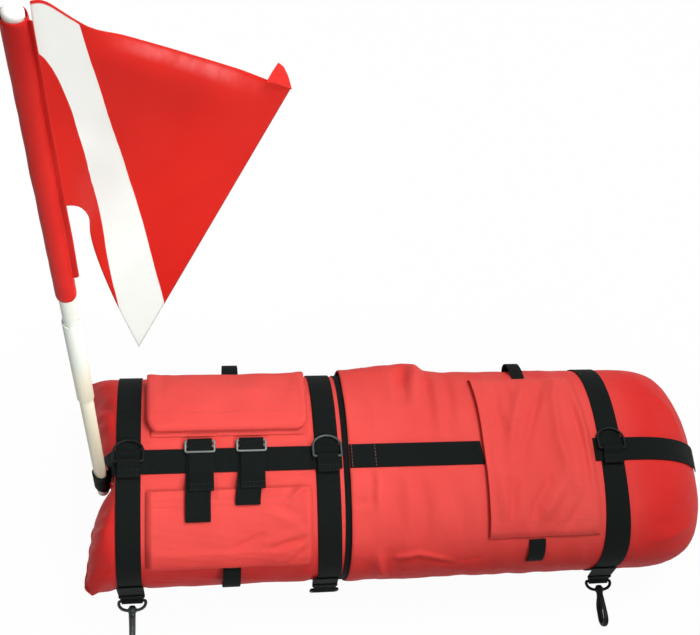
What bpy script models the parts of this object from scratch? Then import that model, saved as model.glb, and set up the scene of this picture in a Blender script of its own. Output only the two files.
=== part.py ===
# Dive flag float: an inflatable float in a strapped nylon cover, with pockets,
# swivel hooks and a two-piece mast that carries a flag.
# Metres. +X runs along the float to its rounded nose, +Y to the far side, +Z up.
# The origin is on the ground under the middle of the resting face.
import math

import bmesh
import bpy
from mathutils import Matrix, Vector

# Webbing and cloth
webbing_width = 0.030
webbing_thickness = 0.0016
narrow_webbing_width = 0.019
cloth_thickness = 0.0012
clearance = 0.0003

# Float body, measured to the outside of the tail half of the cover
half_width = 0.1312
top_rise = 0.0887
bottom_drop = 0.0917
axis_height = 0.085
squareness = 2.4
tail_shoulder = -0.3785
nose_shoulder = 0.280
nose_length = 0.121
nose_droop = 0.026
nose_width_power = 3.0
nose_height_power = 2.2
nose_tip_share = 0.93
nose_steps = 11
ramp_length = 0.020
round_steps = 56

# Pinched tail end
seam_height = 0.070
seam_half_thickness = 0.005
seam_half_width = 0.137
seam_reach = 0.0265
seam_shares = (0.25, 0.5, 0.7, 0.85, 0.95, 1.0)
ear_reach = 0.0135
ear_power = 1.3
mast_dent = 0.0225
mast_dent_width = 0.024
mast_run_lift = 0.0002

# Mouth of the cover, where the nose half laps over the tail half
flap_edge = -0.0985
tail_mouth = -0.045
band_width = 0.042
band_show = 0.006
band_thickness = 0.0009

# Straps round the body, named by where they lie
tail_strap_place = -0.3635
mid_strap_place = -0.1230
nose_strap_place = 0.2450
flap_run_end = 0.0745
nose_run_start = 0.2225
nose_run_steps = 9

# Inflatable bladder
bladder_slack = 0.0003
bladder_tail = -0.372
bladder_tail_round = 0.045
bladder_nose_gap = 0.006
bladder_wall = 0.0007
bladder_steps = 8
valve_radius = 0.006
valve_length = 0.007
valve_offset = 0.030
valve_bore_radius = 0.003
valve_bore_depth = 0.0035
plug_radius = 0.0075
plug_height = 0.0025

# D-rings
ring_wire = 0.0032
ring_half_width = 0.0175
ring_height = 0.0275
ring_leg = 0.013
tab_width = 0.026
tab_length = 0.020
tab_fold_share = 0.35
open_bore = 2 * math.pi * 11 / 12

# Pockets
pocket_gap = 0.0005
box_pocket_left = -0.3435
box_pocket_right = -0.1430
box_pocket_near = 0.0245
box_pocket_mouth = 0.106
box_pocket_depth = 0.014
box_flap_near = 0.0400
box_flap_margin = 0.003
box_flap_wall_gap = 0.0014
box_flap_corner = 0.013
box_flap_corner_share = 0.3
flat_pocket_left = -0.3430
flat_pocket_right = -0.1430
flat_pocket_mouth = 0.0365
flat_pocket_bottom = 0.1175
flat_pocket_depth = 0.0098
side_pocket_left = 0.0765
side_pocket_right = 0.2235
side_pocket_far = 0.1030
side_pocket_near = 0.1010
side_pocket_depth = 0.0095
side_pocket_left_lean = -0.004
side_pocket_right_lean = -0.0125
pocket_edge = 0.014

# Small webbing loops on the flanks
loop_rise = 0.0075
loop_steps = 10
tail_loop_place = -0.2370
nose_loop_place = 0.1410
far_loop_rise = 0.0140
far_tail_loop_turns = (math.radians(20), math.radians(4))
far_nose_loop_turns = (math.radians(38), math.radians(16))
near_tail_loop_turns = (math.radians(154), math.radians(174))
near_nose_loop_turns = (math.radians(139), math.radians(158))

# Gear straps and their tri-glides
gear_strap_places = (-0.2785, -0.2160)
gear_tail_ends = (0.0715, 0.0550)
gear_layer_ends = (0.0385, 0.0370)
gear_climb = 0.016
gear_climb_lead_share = 0.2
glide_width = 0.038
glide_height = 0.0165
glide_thickness = 0.0022
glide_bar = 0.0030
glide_corner = 0.002
glide_place = 0.0165

# Hook tabs, eyes and swivel hooks on the near side
eye_wire = 0.0040
eye_half_width = 0.0170
eye_reach = 0.0120
eye_height = 0.0135
eye_out = 0.0042
eye_outline_shares = ((-1.0, 0.0), (-1.0, 0.45), (-0.8, 0.8), (-0.45, 1.0), (0.0, 1.0),
                      (0.45, 1.0), (0.8, 0.8), (1.0, 0.45), (1.0, 0.0))
nose_hook_lean = 0.020
mid_eye_height = 0.034
mid_eye_lean = 0.006
tab_drop_top = 0.095
collar_radius = 0.0055
collar_length = 0.007
shank_radius = 0.0028
shank_head_radius = 0.0042
shank_head_length = 0.0022
hook_wire = 0.0056
hook_half_height = 0.0095
hook_length = 0.0315
hook_shank = 0.0115
hook_mouth = 0.0115
hook_root_share = 1.15
hook_tip_share = 0.75
hook_drop_share = 0.75
gate_wire = 0.0030
gate_gap = 0.0012
gate_root_share = 0.5

# Mast: lower tube, socket, upper tube, cap and foot
mast_foot = (-0.3969, -0.0135, 0.100)
mast_lean = (-0.0082, 0.1200, 1.0)
tube_radius = 0.00725
tube_wall = 0.0014
socket_low = 0.268
socket_high = 0.426
socket_wall = 0.0012
mast_length = 0.803
sleeve_length = 0.3305
sleeve_top_gap = 0.0005
sleeve_high = mast_length - sleeve_top_gap
sleeve_low = sleeve_high - sleeve_length
sleeve_gap = 0.0006
sleeve_wall = 0.0010
cap_height = 0.004
cap_top_share = 0.75
cap_edge_share = 0.4
plug_depth = 0.018
foot_height = 0.004
foot_share = 0.8
mast_loop_low = 0.026
mast_loop_height = 0.028
mast_loop_gap = 0.0005

# Flag
flag_thickness = 0.0010
flag_columns = 24
flag_rows = 18
# Each point is measured from the hoist's end that its edge starts at
flag_top_fly = (0.1927, 0.1399, -0.2665)
flag_low_fly = (0.0456, 0.0286, -0.1989)
flag_top_pulls = ((0.0603, 0.0509, -0.0885), (0.1243, 0.0959, -0.1785))
flag_foot_pulls = ((-0.0144, 0.1572, 0.0311), (0.0056, 0.1022, -0.1389))

half = 0.5
quarter_turn = math.pi / 2

red = (0.72, 0.07, 0.055)
flag_red = (0.72, 0.03, 0.02)
black = (0.008, 0.010, 0.010)
white = (0.86, 0.87, 0.80)
grey_steel = (0.16, 0.19, 0.18)
silver = (0.38, 0.40, 0.37)
amber = (0.75, 0.45, 0.10)


def clear_scene():
    for old in list(bpy.data.objects):
        bpy.data.objects.remove(old, do_unlink=True)


def new_collection(name):
    made = bpy.data.collections.new(name)
    bpy.context.scene.collection.children.link(made)
    return made


def paint(name, colour, roughness, metallic=0.0):
    material = bpy.data.materials.new(name)
    material.use_nodes = True
    shader = material.node_tree.nodes["Principled BSDF"]
    shader.inputs["Base Color"].default_value = (*colour, 1.0)
    shader.inputs["Roughness"].default_value = roughness
    shader.inputs["Metallic"].default_value = metallic
    return material


def place(name, mesh, material, origin=(0, 0, 0)):
    """Put a mesh built in world space on an object whose origin is given."""
    mesh.transform(Matrix.Translation(-Vector(origin)))
    mesh.materials.append(material)
    made = bpy.data.objects.new(name, mesh)
    made.location = origin
    float_parts.objects.link(made)
    return made


def smooth(mesh):
    mesh.shade_smooth()
    mesh.set_sharp_from_angle(angle=math.radians(40))


def solidify(made, thickness, offset):
    shell = made.modifiers.new("Shell", "SOLIDIFY")
    shell.thickness = thickness
    shell.offset = offset
    return made


def grid_mesh(name, rows, ring, lid=False, outward=None):
    """Join rows of points into a surface; a ring closes each row on itself."""
    bm = bmesh.new()
    verts = [[bm.verts.new(p) for p in row] for row in rows]
    count = len(rows[0])
    for first, second in zip(verts, verts[1:]):
        for k in range(count if ring else count - 1):
            nxt = (k + 1) % count
            bm.faces.new((first[k], first[nxt], second[nxt], second[k]))
    if lid:
        fold_shut(bm, verts[-1])
    bmesh.ops.recalc_face_normals(bm, faces=bm.faces)
    if outward is not None:
        lean = sum(f.normal.dot(outward(f.calc_center_median())) * f.calc_area() for f in bm.faces)
        if lean < 0:
            bmesh.ops.reverse_faces(bm, faces=bm.faces)
    mesh = bpy.data.meshes.new(name)
    bm.to_mesh(mesh)
    bm.free()
    smooth(mesh)
    return mesh


def fold_shut(bm, ring):
    """Close a ring by joining its upper half to its lower half, point by point."""
    count = len(ring)
    for k in range(count // 2):
        corners = [ring[k], ring[k + 1], ring[(count - k - 1) % count], ring[(count - k) % count]]
        unique = list(dict.fromkeys(corners))
        if len(unique) > 2:
            bm.faces.new(unique)


def from_axis(point):
    return Vector((0, point.y, point.z - axis_height))


def power(value, exponent):
    return math.copysign(abs(value) ** exponent, value)


def blend(value):
    value = min(max(value, 0.0), 1.0)
    return value * value * (3 - 2 * value)


lap_rise = webbing_thickness + clearance
lap_step = band_thickness + 2 * clearance + cloth_thickness
hump_slope = 4 * webbing_thickness
step_start = mid_strap_place + webbing_width * half
step_end = flap_edge - band_show - clearance
ramp_end = nose_strap_place - webbing_width * half
ramp_start = ramp_end - ramp_length


def tail_floor(x):
    """The underside clears its straps, and lifts near the mouth to clear the nose half."""
    return lap_rise + (lap_step - lap_rise) * blend((x - step_start) / (step_end - step_start))


def nose_floor(x):
    """The nose half lies on the ground as far as its strap, which passes below the rest."""
    return lap_rise * blend((x - ramp_start) / (ramp_end - ramp_start))


def tail_skin(x, turn):
    """A point on the tail half of the cover, by its station and its turn from +Y."""
    cosine, sine = math.cos(turn), math.sin(turn)
    exponent = 2 / squareness
    share = max((tail_shoulder - x) / seam_reach, 0.0)
    share = min(share, 1.0)
    shrink = (1 - share ** nose_height_power) ** (1 / nose_height_power)
    wide = half_width + (seam_half_width - half_width) * share
    middle = axis_height + (seam_height - axis_height) * share
    rise = (top_rise - seam_half_thickness) * shrink + seam_half_thickness
    drop = (bottom_drop - seam_half_thickness) * shrink + seam_half_thickness
    y = wide * power(cosine, exponent)
    z = middle + (rise if sine >= 0 else drop) * power(sine, exponent)
    z = max(z, tail_floor(x))
    pull = ear_reach * abs(y / seam_half_width) ** ear_power
    dent = mast_dent * math.exp(-((y - mast_foot[1]) / mast_dent_width) ** 2)
    reach = share * (pull - dent)
    return Vector((x - reach, y, z))


def nose_shares(x):
    share = min(max((x - nose_shoulder) / nose_length, 0.0), 1.0)
    wide = (1 - share ** nose_width_power) ** (1 / nose_width_power)
    high = (1 - share ** nose_height_power) ** (1 / nose_height_power)
    return wide, high


def nose_middle(x):
    """The middle height of the nose, which droops towards its tip."""
    share = min(max((x - nose_shoulder) / nose_length, 0.0), 1.0)
    return axis_height - nose_droop * share * share


def nose_skin(x, turn):
    """A point on the nose half of the cover, which laps over the tail half."""
    cosine, sine = math.cos(turn), math.sin(turn)
    exponent = 2 / squareness
    wide, high = nose_shares(x)
    y = (half_width + lap_step) * wide * power(cosine, exponent)
    rise = (top_rise + lap_step) * high
    drop = (bottom_drop + lap_step) * high
    z = nose_middle(x) + (rise if sine >= 0 else drop) * power(sine, exponent)
    return Vector((x, y, max(z, nose_floor(x))))


def lifted(skin, x, turn, off):
    """A point held off the skin along its normal."""
    step = clearance
    turn_step = math.radians(0.5)
    along = skin(x + step, turn) - skin(x - step, turn)
    around = skin(x, turn + turn_step) - skin(x, turn - turn_step)
    normal = around.cross(along)
    if normal.length == 0:
        return skin(x, turn)
    normal.normalize()
    if normal.dot(Vector((0, math.cos(turn), math.sin(turn)))) < 0:
        normal.negate()
    return skin(x, turn) + off * normal


def turn_at(across):
    """The turn at which the skin lies this far from the middle plane."""
    share = min(abs(across) / half_width, 1.0)
    cosine = math.copysign(share ** (squareness / 2), across)
    return math.acos(cosine)


def ring_turns():
    return [2 * math.pi * k / round_steps for k in range(round_steps)]


def spaced(start, end, count):
    return [start + (end - start) * k / (count - 1) for k in range(count)]


def make_tail_cover():
    stations = spaced(tail_mouth, step_end, 3) + spaced(step_start, tail_shoulder, 4)
    stations += [tail_shoulder - seam_reach * share for share in seam_shares]
    rows = [[tail_skin(x, turn) for turn in ring_turns()] for x in stations]
    mesh = grid_mesh("tail_cover", rows, ring=True, lid=True, outward=from_axis)
    return solidify(place("tail_cover", mesh, cover_red), cloth_thickness, -1)


def nose_stations():
    """Stations from the shoulder to the tip, closer together where the nose turns in."""
    shares = spaced(0.0, nose_tip_share, nose_steps + 1)[1:]
    return [nose_shoulder + nose_length * math.sin(quarter_turn * share) for share in shares]


def make_nose_cover():
    stations = spaced(flap_edge, ramp_start, 5) + [ramp_end, nose_shoulder] + nose_stations()
    rows = [[nose_skin(x, turn) for turn in ring_turns()] for x in stations]
    mesh = grid_mesh("nose_cover", rows, ring=True, lid=True, outward=from_axis)
    return solidify(place("nose_cover", mesh, cover_red), cloth_thickness, -1)


def band_round(name, skin, start, end, off, thickness, material, steps=2):
    rows = [[lifted(skin, x, turn, off) for turn in ring_turns()] for x in spaced(start, end, steps)]
    mesh = grid_mesh(name, rows, ring=True, outward=from_axis)
    return solidify(place(name, mesh, material), thickness, 1)


def make_closure_band():
    start = flap_edge - band_show
    return band_round("closure_band", tail_skin, start, start + band_width, clearance, band_thickness,
                      webbing_black, steps=4)


def make_body_straps():
    for name, skin, middle in (("tail_strap", tail_skin, tail_strap_place),
                               ("mid_strap", tail_skin, mid_strap_place),
                               ("nose_strap", nose_skin, nose_strap_place)):
        reach = webbing_width * half - clearance
        band_round(name, skin, middle - reach, middle + reach, clearance, webbing_thickness, webbing_black)


def strap_hump(x, places):
    """How far a lengthwise run climbs to cross the straps that lie under it."""
    reach = webbing_width * half + clearance
    rise = 0.0
    for middle in places:
        rise = max(rise, blend((reach + hump_slope - abs(x - middle)) / hump_slope))
    return rise * (webbing_thickness + clearance)


def run_along(name, skin, stations, places):
    """A webbing strip along the top of the float, in line with +X."""
    step = 2 * math.pi / round_steps
    rows = []
    for x in stations:
        off = clearance + strap_hump(x, places) + (mast_run_lift if x < tail_shoulder else 0.0)
        middle = lifted(skin, x, quarter_turn, off)
        near = lifted(skin, x, quarter_turn + step, off)
        far = lifted(skin, x, quarter_turn - step, off)
        rows.append([middle.lerp(side, webbing_width * half / abs(side.y - middle.y))
                     for side in (near, far)])
        rows[-1].insert(1, middle)
    mesh = grid_mesh(name, rows, ring=False, outward=from_axis)
    return solidify(place(name, mesh, webbing_black), webbing_thickness, 1)


def hump_stations(start, end, places):
    reach = webbing_width * half + clearance
    stations = {start, end}
    for middle in places:
        for side in (-1, 1):
            for share in (0.0, half, 1.0):
                station = middle + side * (reach + hump_slope * share)
                if start < station < end:
                    stations.add(station)
    return sorted(stations)


def make_runs():
    places = (tail_strap_place, mid_strap_place)
    end = flap_edge - band_show - 2 * clearance
    stations = hump_stations(tail_shoulder, end, places)
    over_end = [tail_shoulder - seam_reach * share for share in reversed(seam_shares[:3])]
    run_along("tail_run", tail_skin, over_end + stations, places)
    start = flap_edge + clearance
    run_along("flap_run", nose_skin, spaced(start, flap_run_end, 5), ())
    stations = hump_stations(nose_run_start, nose_shoulder, (nose_strap_place,))
    stations += nose_stations()[:nose_run_steps]
    run_along("nose_run", nose_skin, stations, (nose_strap_place,))


def make_bladder():
    """The airtight bag, open only at its valve; its ends round off inside the cover."""
    inset = cloth_thickness + bladder_slack
    floor = lap_step + inset
    nose_room = nose_length - bladder_nose_gap
    tail_start = bladder_tail + bladder_tail_round
    shares = [math.sin(quarter_turn * nose_tip_share * (k + half) / bladder_steps)
              for k in range(bladder_steps)]
    shares.append(math.sin(quarter_turn * nose_tip_share))
    stations = [(tail_start - bladder_tail_round * share, share) for share in reversed(shares)]
    stations += [(nose_shoulder + nose_room * share, share) for share in shares]
    turns = [4 * math.pi * k / round_steps for k in range(round_steps // 2)]
    hole = [Vector((stations[0][0], valve_offset + valve_bore_radius * math.cos(turn),
                    axis_height + valve_bore_radius * math.sin(turn))) for turn in turns]
    rows = [hole]
    for x, share in stations:
        wide = (half_width - inset) * (1 - share ** nose_width_power) ** (1 / nose_width_power)
        shrink = (1 - share ** nose_height_power) ** (1 / nose_height_power)
        row = []
        for turn in turns:
            high = (top_rise if math.sin(turn) >= 0 else bottom_drop) - inset
            z = nose_middle(x) + high * shrink * power(math.sin(turn), 2 / squareness)
            row.append(Vector((x, wide * power(math.cos(turn), 2 / squareness), max(z, floor))))
        rows.append(row)
    mesh = grid_mesh("bladder", rows, ring=True, lid=True, outward=from_axis)
    solidify(place("bladder", mesh, bladder_amber), bladder_wall, -1)
    return stations[0][0]


def turned(name, profile, start, direction, material, steps=20, hollow=False):
    """Spin a profile of (radius, height) pairs round an axis that starts at a point."""
    following = profile[1:] + profile[:1]
    area = sum(r1 * h2 - r2 * h1 for (r1, h1), (r2, h2) in zip(profile, following))
    if area > 0:
        profile = profile[::-1]
    bm = bmesh.new()
    verts = [bm.verts.new((radius, 0, height)) for radius, height in profile]
    pairs = zip(verts, verts[1:] + verts[:1] if hollow else verts[1:])
    for first, second in pairs:
        bm.edges.new((first, second))
    mesh = bpy.data.meshes.new(name)
    bm.to_mesh(mesh)
    bm.free()
    frame = Vector((0, 0, 1)).rotation_difference(Vector(direction)).to_matrix().to_4x4()
    made = bpy.data.objects.new(name, mesh)
    mesh.materials.append(material)
    float_parts.objects.link(made)
    made.matrix_world = Matrix.Translation(start) @ frame
    spin = made.modifiers.new("Spin", "SCREW")
    spin.steps = steps
    spin.render_steps = steps
    spin.use_merge_vertices = True
    spin.merge_threshold = clearance / 10
    return made


def make_valve(bladder_end):
    """The filling valve on the tail end of the bladder, and the plug that shuts it."""
    start = Vector((bladder_end - clearance, valve_offset, axis_height))
    bore_end = valve_bore_depth - valve_length
    outline = [(0, 0), (valve_radius, 0), (valve_radius, -valve_length),
               (valve_bore_radius, -valve_length), (valve_bore_radius, bore_end), (0, bore_end)]
    turned("valve_stem", outline, start, (1, 0, 0), plug_white)
    top = start - Vector((valve_length + clearance, 0, 0))
    pin = valve_bore_radius - clearance
    depth = valve_bore_depth - clearance
    outline = [(0, -plug_height), (plug_radius, -plug_height), (plug_radius, 0), (pin, 0), (pin, depth),
               (0, depth)]
    turned("valve_plug", outline, top, (1, 0, 0), plug_white)


def outline_mesh(name, splines, depth):
    """A flat outline, with its holes, given thickness along its own Z."""
    curve = bpy.data.curves.new(name, "CURVE")
    curve.dimensions = "2D"
    curve.fill_mode = "BOTH"
    curve.extrude = depth * half
    for points in splines:
        spline = curve.splines.new("POLY")
        spline.points.add(len(points) - 1)
        for point, (u, v) in zip(spline.points, points):
            point.co = (u, v, 0, 1)
        spline.use_cyclic_u = True
    return curve_to_mesh(name, curve)


def curve_to_mesh(name, curve):
    made = bpy.data.objects.new(name, curve)
    bpy.context.scene.collection.objects.link(made)
    bpy.context.view_layer.update()
    mesh = bpy.data.meshes.new_from_object(made.evaluated_get(bpy.context.evaluated_depsgraph_get()))
    bpy.data.objects.remove(made, do_unlink=True)
    bm = bmesh.new()
    bm.from_mesh(mesh)
    bmesh.ops.remove_doubles(bm, verts=bm.verts, dist=clearance / 10)
    bmesh.ops.recalc_face_normals(bm, faces=bm.faces)
    bm.to_mesh(mesh)
    bm.free()
    mesh.name = name
    smooth(mesh)
    return mesh


def wire_mesh(name, points, radius, closed=False, radii=None):
    """A round wire or rod along points; radii taper it."""
    curve = bpy.data.curves.new(name, "CURVE")
    curve.dimensions = "3D"
    curve.bevel_depth = radius
    curve.bevel_resolution = 2
    curve.use_fill_caps = not closed
    spline = curve.splines.new("POLY")
    spline.points.add(len(points) - 1)
    for k, (point, at) in enumerate(zip(spline.points, points)):
        point.co = (*at, 1)
        point.radius = 1.0 if radii is None else radii[k]
    spline.use_cyclic_u = closed
    return curve_to_mesh(name, curve)


def arc(middle, radius, start, end, count):
    return [(middle[0] + radius * math.cos(a), middle[1] + radius * math.sin(a))
            for a in spaced(start, end, count)]


def stand_on_side(mesh, at):
    """Turn a flat outline of (y, z) points so that its thickness runs along X."""
    turn = Matrix(((0, 0, 1, 0), (1, 0, 0, 0), (0, 1, 0, 0), (0, 0, 0, 1)))
    mesh.transform(Matrix.Translation(at) @ turn)
    return mesh


def make_ring_set(label, skin, x, height):
    """A D-ring in its webbing tab, lying back towards the far side."""
    bar_radius = ring_wire * half
    bore = bar_radius + clearance
    shell = bore + webbing_thickness
    bar_z = height + clearance + shell
    axis = Vector((x, 0, bar_z))
    low = -shell
    outer = arc((0, 0), shell, -quarter_turn, quarter_turn, 9)
    flat = [(-tab_length * tab_fold_share, low + 2 * webbing_thickness),
            (-tab_length, low + webbing_thickness), (-tab_length, low)]
    hole = arc((0, 0), bore, 0, open_bore, 12)
    mesh = outline_mesh("ring_tab_" + label, [outer + flat, hole], tab_width)
    place("ring_tab_" + label, stand_on_side(mesh, axis), webbing_black)
    side = ring_half_width
    leg = ring_leg
    crown = ring_height - leg
    path = [(-side, 0), (-side, leg * half)]
    path += [(side * math.cos(a), leg + crown * math.sin(a)) for a in spaced(math.pi, 0, 13)]
    path += [(side, leg * half), (side, 0)]
    stack = 2 * clearance + webbing_thickness + bar_radius
    fall = bar_z - lifted(skin, x, turn_at(ring_height), stack).z
    tilt = math.asin(fall / ring_height)
    points = [axis + Vector((px, py * math.cos(tilt), -py * math.sin(tilt))) for px, py in path]
    material = bare_steel if label == "mid" else ring_black
    mesh = wire_mesh("d_ring_" + label, points, bar_radius, closed=True)
    place("d_ring_" + label, mesh, material, origin=axis)


def make_rings():
    over = 2 * (webbing_thickness + clearance)
    tail_top = axis_height + top_rise + over
    nose_top = tail_top + lap_step
    make_ring_set("tail", tail_skin, tail_strap_place, tail_top)
    make_ring_set("mid", tail_skin, mid_strap_place, tail_top)
    make_ring_set("nose", nose_skin, nose_strap_place, nose_top)


def pouch(name, skin, left, right, mouth, turns, depth, columns=9, left_lean=0.0, right_lean=0.0):
    """A sewn pocket as an open skin over the cover: low at its seams, full depth at its mouth."""
    stations = [left, left + pocket_edge * half]
    stations += spaced(left + pocket_edge, right - pocket_edge, columns)
    stations += [right - pocket_edge * half, right]
    seam = pocket_gap + cloth_thickness
    rows = []
    for x in stations:
        across = (x - left) / (right - left)
        from_left = pocket_edge if mouth == "left" else x - left
        row = []
        for turn in turns:
            start = half_width * half * abs(turn - turns[0])
            end = pocket_edge if mouth == "end" else half_width * half * abs(turns[-1] - turn)
            share = min(from_left, right - x, start, end) / pocket_edge
            fill = math.sin(quarter_turn * min(share, 1.0))
            back = (turns[-1] - turn) / (turns[-1] - turns[0])
            shift = (left_lean * (1 - across) + right_lean * across) * back * back
            row.append(lifted(skin, x + shift, turn, seam + (depth - seam) * fill))
        rows.append(row)
    mesh = grid_mesh(name, rows, ring=False, outward=from_axis)
    return solidify(place(name, mesh, cover_red), cloth_thickness, -1)


def turn_steps(start, end, count):
    edge = pocket_edge / (half_width * half)
    side = 1 if end > start else -1
    inner = spaced(start + side * edge, end - side * edge, count)
    return [start, start + side * edge * half] + inner + [end - side * edge * half, end]


def make_pockets():
    box_turns = turn_steps(turn_at(box_pocket_near), turn_at(box_pocket_mouth), 5)
    pouch("box_pocket", tail_skin, box_pocket_left, box_pocket_right, "end", box_turns, box_pocket_depth)
    flat_turns = turn_steps(turn_at(-flat_pocket_bottom), turn_at(-flat_pocket_mouth), 5)
    pouch("flat_pocket", tail_skin, flat_pocket_left, flat_pocket_right, "end", flat_turns,
          flat_pocket_depth)
    side_turns = turn_steps(turn_at(side_pocket_far), turn_at(-side_pocket_near), 9)
    pouch("side_pocket", nose_skin, side_pocket_left, side_pocket_right, "left", side_turns,
          side_pocket_depth, columns=7, left_lean=side_pocket_left_lean, right_lean=side_pocket_right_lean)


def make_box_flap():
    """The lid of the box pocket: a panel over the mouth and a back wall down to its hinge."""
    left, right = box_pocket_left - box_flap_margin, box_pocket_right + box_flap_margin
    near, far = turn_at(box_flap_near), turn_at(box_pocket_mouth)
    back = far - 2 * box_flap_wall_gap / half_width
    off = box_pocket_depth + clearance
    foot = 2 * clearance
    corner = box_flap_corner
    stations = [left, left + corner * box_flap_corner_share]
    stations += spaced(left + corner, right - corner, 7)
    stations += [right - corner * box_flap_corner_share, right]
    rows = []
    for x in stations:
        inward = max(corner - min(x - left, right - x), 0.0) / corner
        cut = corner * (1 - math.sqrt(1 - inward * inward))
        start = near - 2 * cut / half_width
        row = [lifted(tail_skin, x, turn, off) for turn in spaced(start, back, 8)]
        row += [lifted(tail_skin, x, back, height) for height in (off * half, foot)]
        rows.append(row)
    middle = (left + right) * half
    inner = lifted(tail_skin, middle, back, foot)
    down = (lifted(tail_skin, middle, back - math.radians(1), foot) - inner).normalized()
    hinge = inner + cloth_thickness * down
    mesh = grid_mesh("box_pocket_flap", rows, ring=False, outward=from_axis)
    made = place("box_pocket_flap", mesh, cover_red, origin=hinge)
    return solidify(made, cloth_thickness, 1)


def make_flank_loops():
    spots = (("far_loop_tail", tail_skin, tail_loop_place, far_tail_loop_turns, far_loop_rise),
             ("far_loop_nose", nose_skin, nose_loop_place, far_nose_loop_turns, far_loop_rise),
             ("near_loop_tail", tail_skin, tail_loop_place, near_tail_loop_turns, loop_rise),
             ("near_loop_nose", nose_skin, nose_loop_place, near_nose_loop_turns, loop_rise))
    for name, skin, middle, (start, end), height in spots:
        reach = narrow_webbing_width * half
        rows = []
        for x in (middle - reach, middle + reach):
            row = []
            for k, turn in enumerate(spaced(start, end, loop_steps + 1)):
                rise = height * math.sqrt(math.sin(math.pi * k / loop_steps)) if 0 < k < loop_steps else 0.0
                row.append(lifted(skin, x, turn, clearance + rise))
            rows.append(row)
        mesh = grid_mesh(name, rows, ring=False, outward=from_axis)
        solidify(place(name, mesh, webbing_black), webbing_thickness, 1)


def ribbon(name, middle, stops):
    """A webbing strip across the float through stops of (distance from the middle plane, height off)."""
    rows = []
    for x in (middle - webbing_width * half, middle + webbing_width * half):
        rows.append([lifted(tail_skin, x, turn_at(y), off) for y, off in stops])
    mesh = grid_mesh(name, rows, ring=False, outward=from_axis)
    return solidify(place(name, mesh, webbing_black), webbing_thickness, 1)


def make_gear_straps():
    over_run = clearance + webbing_thickness + clearance
    over_pocket = flat_pocket_depth + clearance
    for k, middle in enumerate(gear_strap_places):
        label = "ab"[k]
        glide_off = over_run + webbing_thickness + clearance
        low = glide_place - glide_height * half
        start = low - clearance
        brink = gear_climb * (half + gear_climb_lead_share) - flat_pocket_mouth
        shared = [(0, over_run), (brink + gear_climb * half, over_run),
                  (brink, over_run + (over_pocket - over_run) * half),
                  (brink - gear_climb * half, over_pocket)]
        tail = [(glide_place + glide_bar, over_run), (start, over_run)] + shared
        tail += [(y, over_pocket) for y in spaced(brink - gear_climb, -gear_tail_ends[k], 4)]
        ribbon("gear_strap_" + label, middle, tail)
        step = webbing_thickness + clearance
        layer = [(start, over_run)] + shared + [(-gear_layer_ends[k], over_pocket)]
        ribbon("gear_layer_" + label, middle, [(y, off + step) for y, off in layer])
        make_tri_glide("tri_glide_" + label, middle, glide_place, glide_off)


def rounded_box(width, height, corner, count=4):
    points = []
    for quarter, (sx, sy) in enumerate(((1, 1), (-1, 1), (-1, -1), (1, -1))):
        start = quarter * quarter_turn
        middle = (sx * (width * half - corner), sy * (height * half - corner))
        points += arc(middle, corner, start, start + quarter_turn, count)
    return points


def make_tri_glide(name, x, y, off):
    outer = rounded_box(glide_width, glide_height, glide_corner)
    slot_height = (glide_height - 3 * glide_bar) * half
    slot_width = glide_width - 2 * glide_bar
    splines = [outer]
    for side in (-1, 1):
        shift = side * (glide_bar + slot_height) * half
        slot = rounded_box(slot_width, slot_height, glide_corner * half, count=3)
        splines.append([(u, v + shift) for u, v in slot])
    mesh = outline_mesh(name, splines, glide_thickness)
    spot = lifted(tail_skin, x, turn_at(y), off + glide_thickness * half)
    ahead = lifted(tail_skin, x, turn_at(y + glide_bar), off + glide_thickness * half)
    slope = ahead - spot
    mesh.transform(Matrix.Translation(spot) @ Matrix.Rotation(math.atan2(slope.z, slope.y), 4, "X"))
    return place(name, mesh, buckle_silver)


def side_reach():
    """How far out the straps reach on the near side."""
    return half_width + clearance + webbing_thickness


def make_hook_tab(name, x, reach, height=None, lean=0.0):
    """Webbing that hangs from a body strap and holds an eye in its fold."""
    height = height or eye_height
    bore = eye_wire * half + clearance
    shell = bore + webbing_thickness
    wall = -reach - clearance
    axis_y = wall - eye_out
    outer = arc((axis_y, height), shell, -math.pi, 0, 11)
    inner_side = [(wall, height + 2 * shell), (wall, tab_drop_top)]
    outer_side = [(wall - webbing_thickness, tab_drop_top), (wall - webbing_thickness, height + 3 * shell)]
    hole = arc((axis_y, height), bore, 0, open_bore, 12)
    width = webbing_width - 2 * webbing_thickness
    mesh = outline_mesh(name, [outer + inner_side + outer_side, hole], width)
    stand_on_side(mesh, Vector((x, 0, 0)))
    for vert in mesh.vertices:
        vert.co.x += lean * (tab_drop_top - vert.co.z) / (tab_drop_top - height)
    place(name, mesh, webbing_black)
    return Vector((x + lean, axis_y, height))


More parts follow.
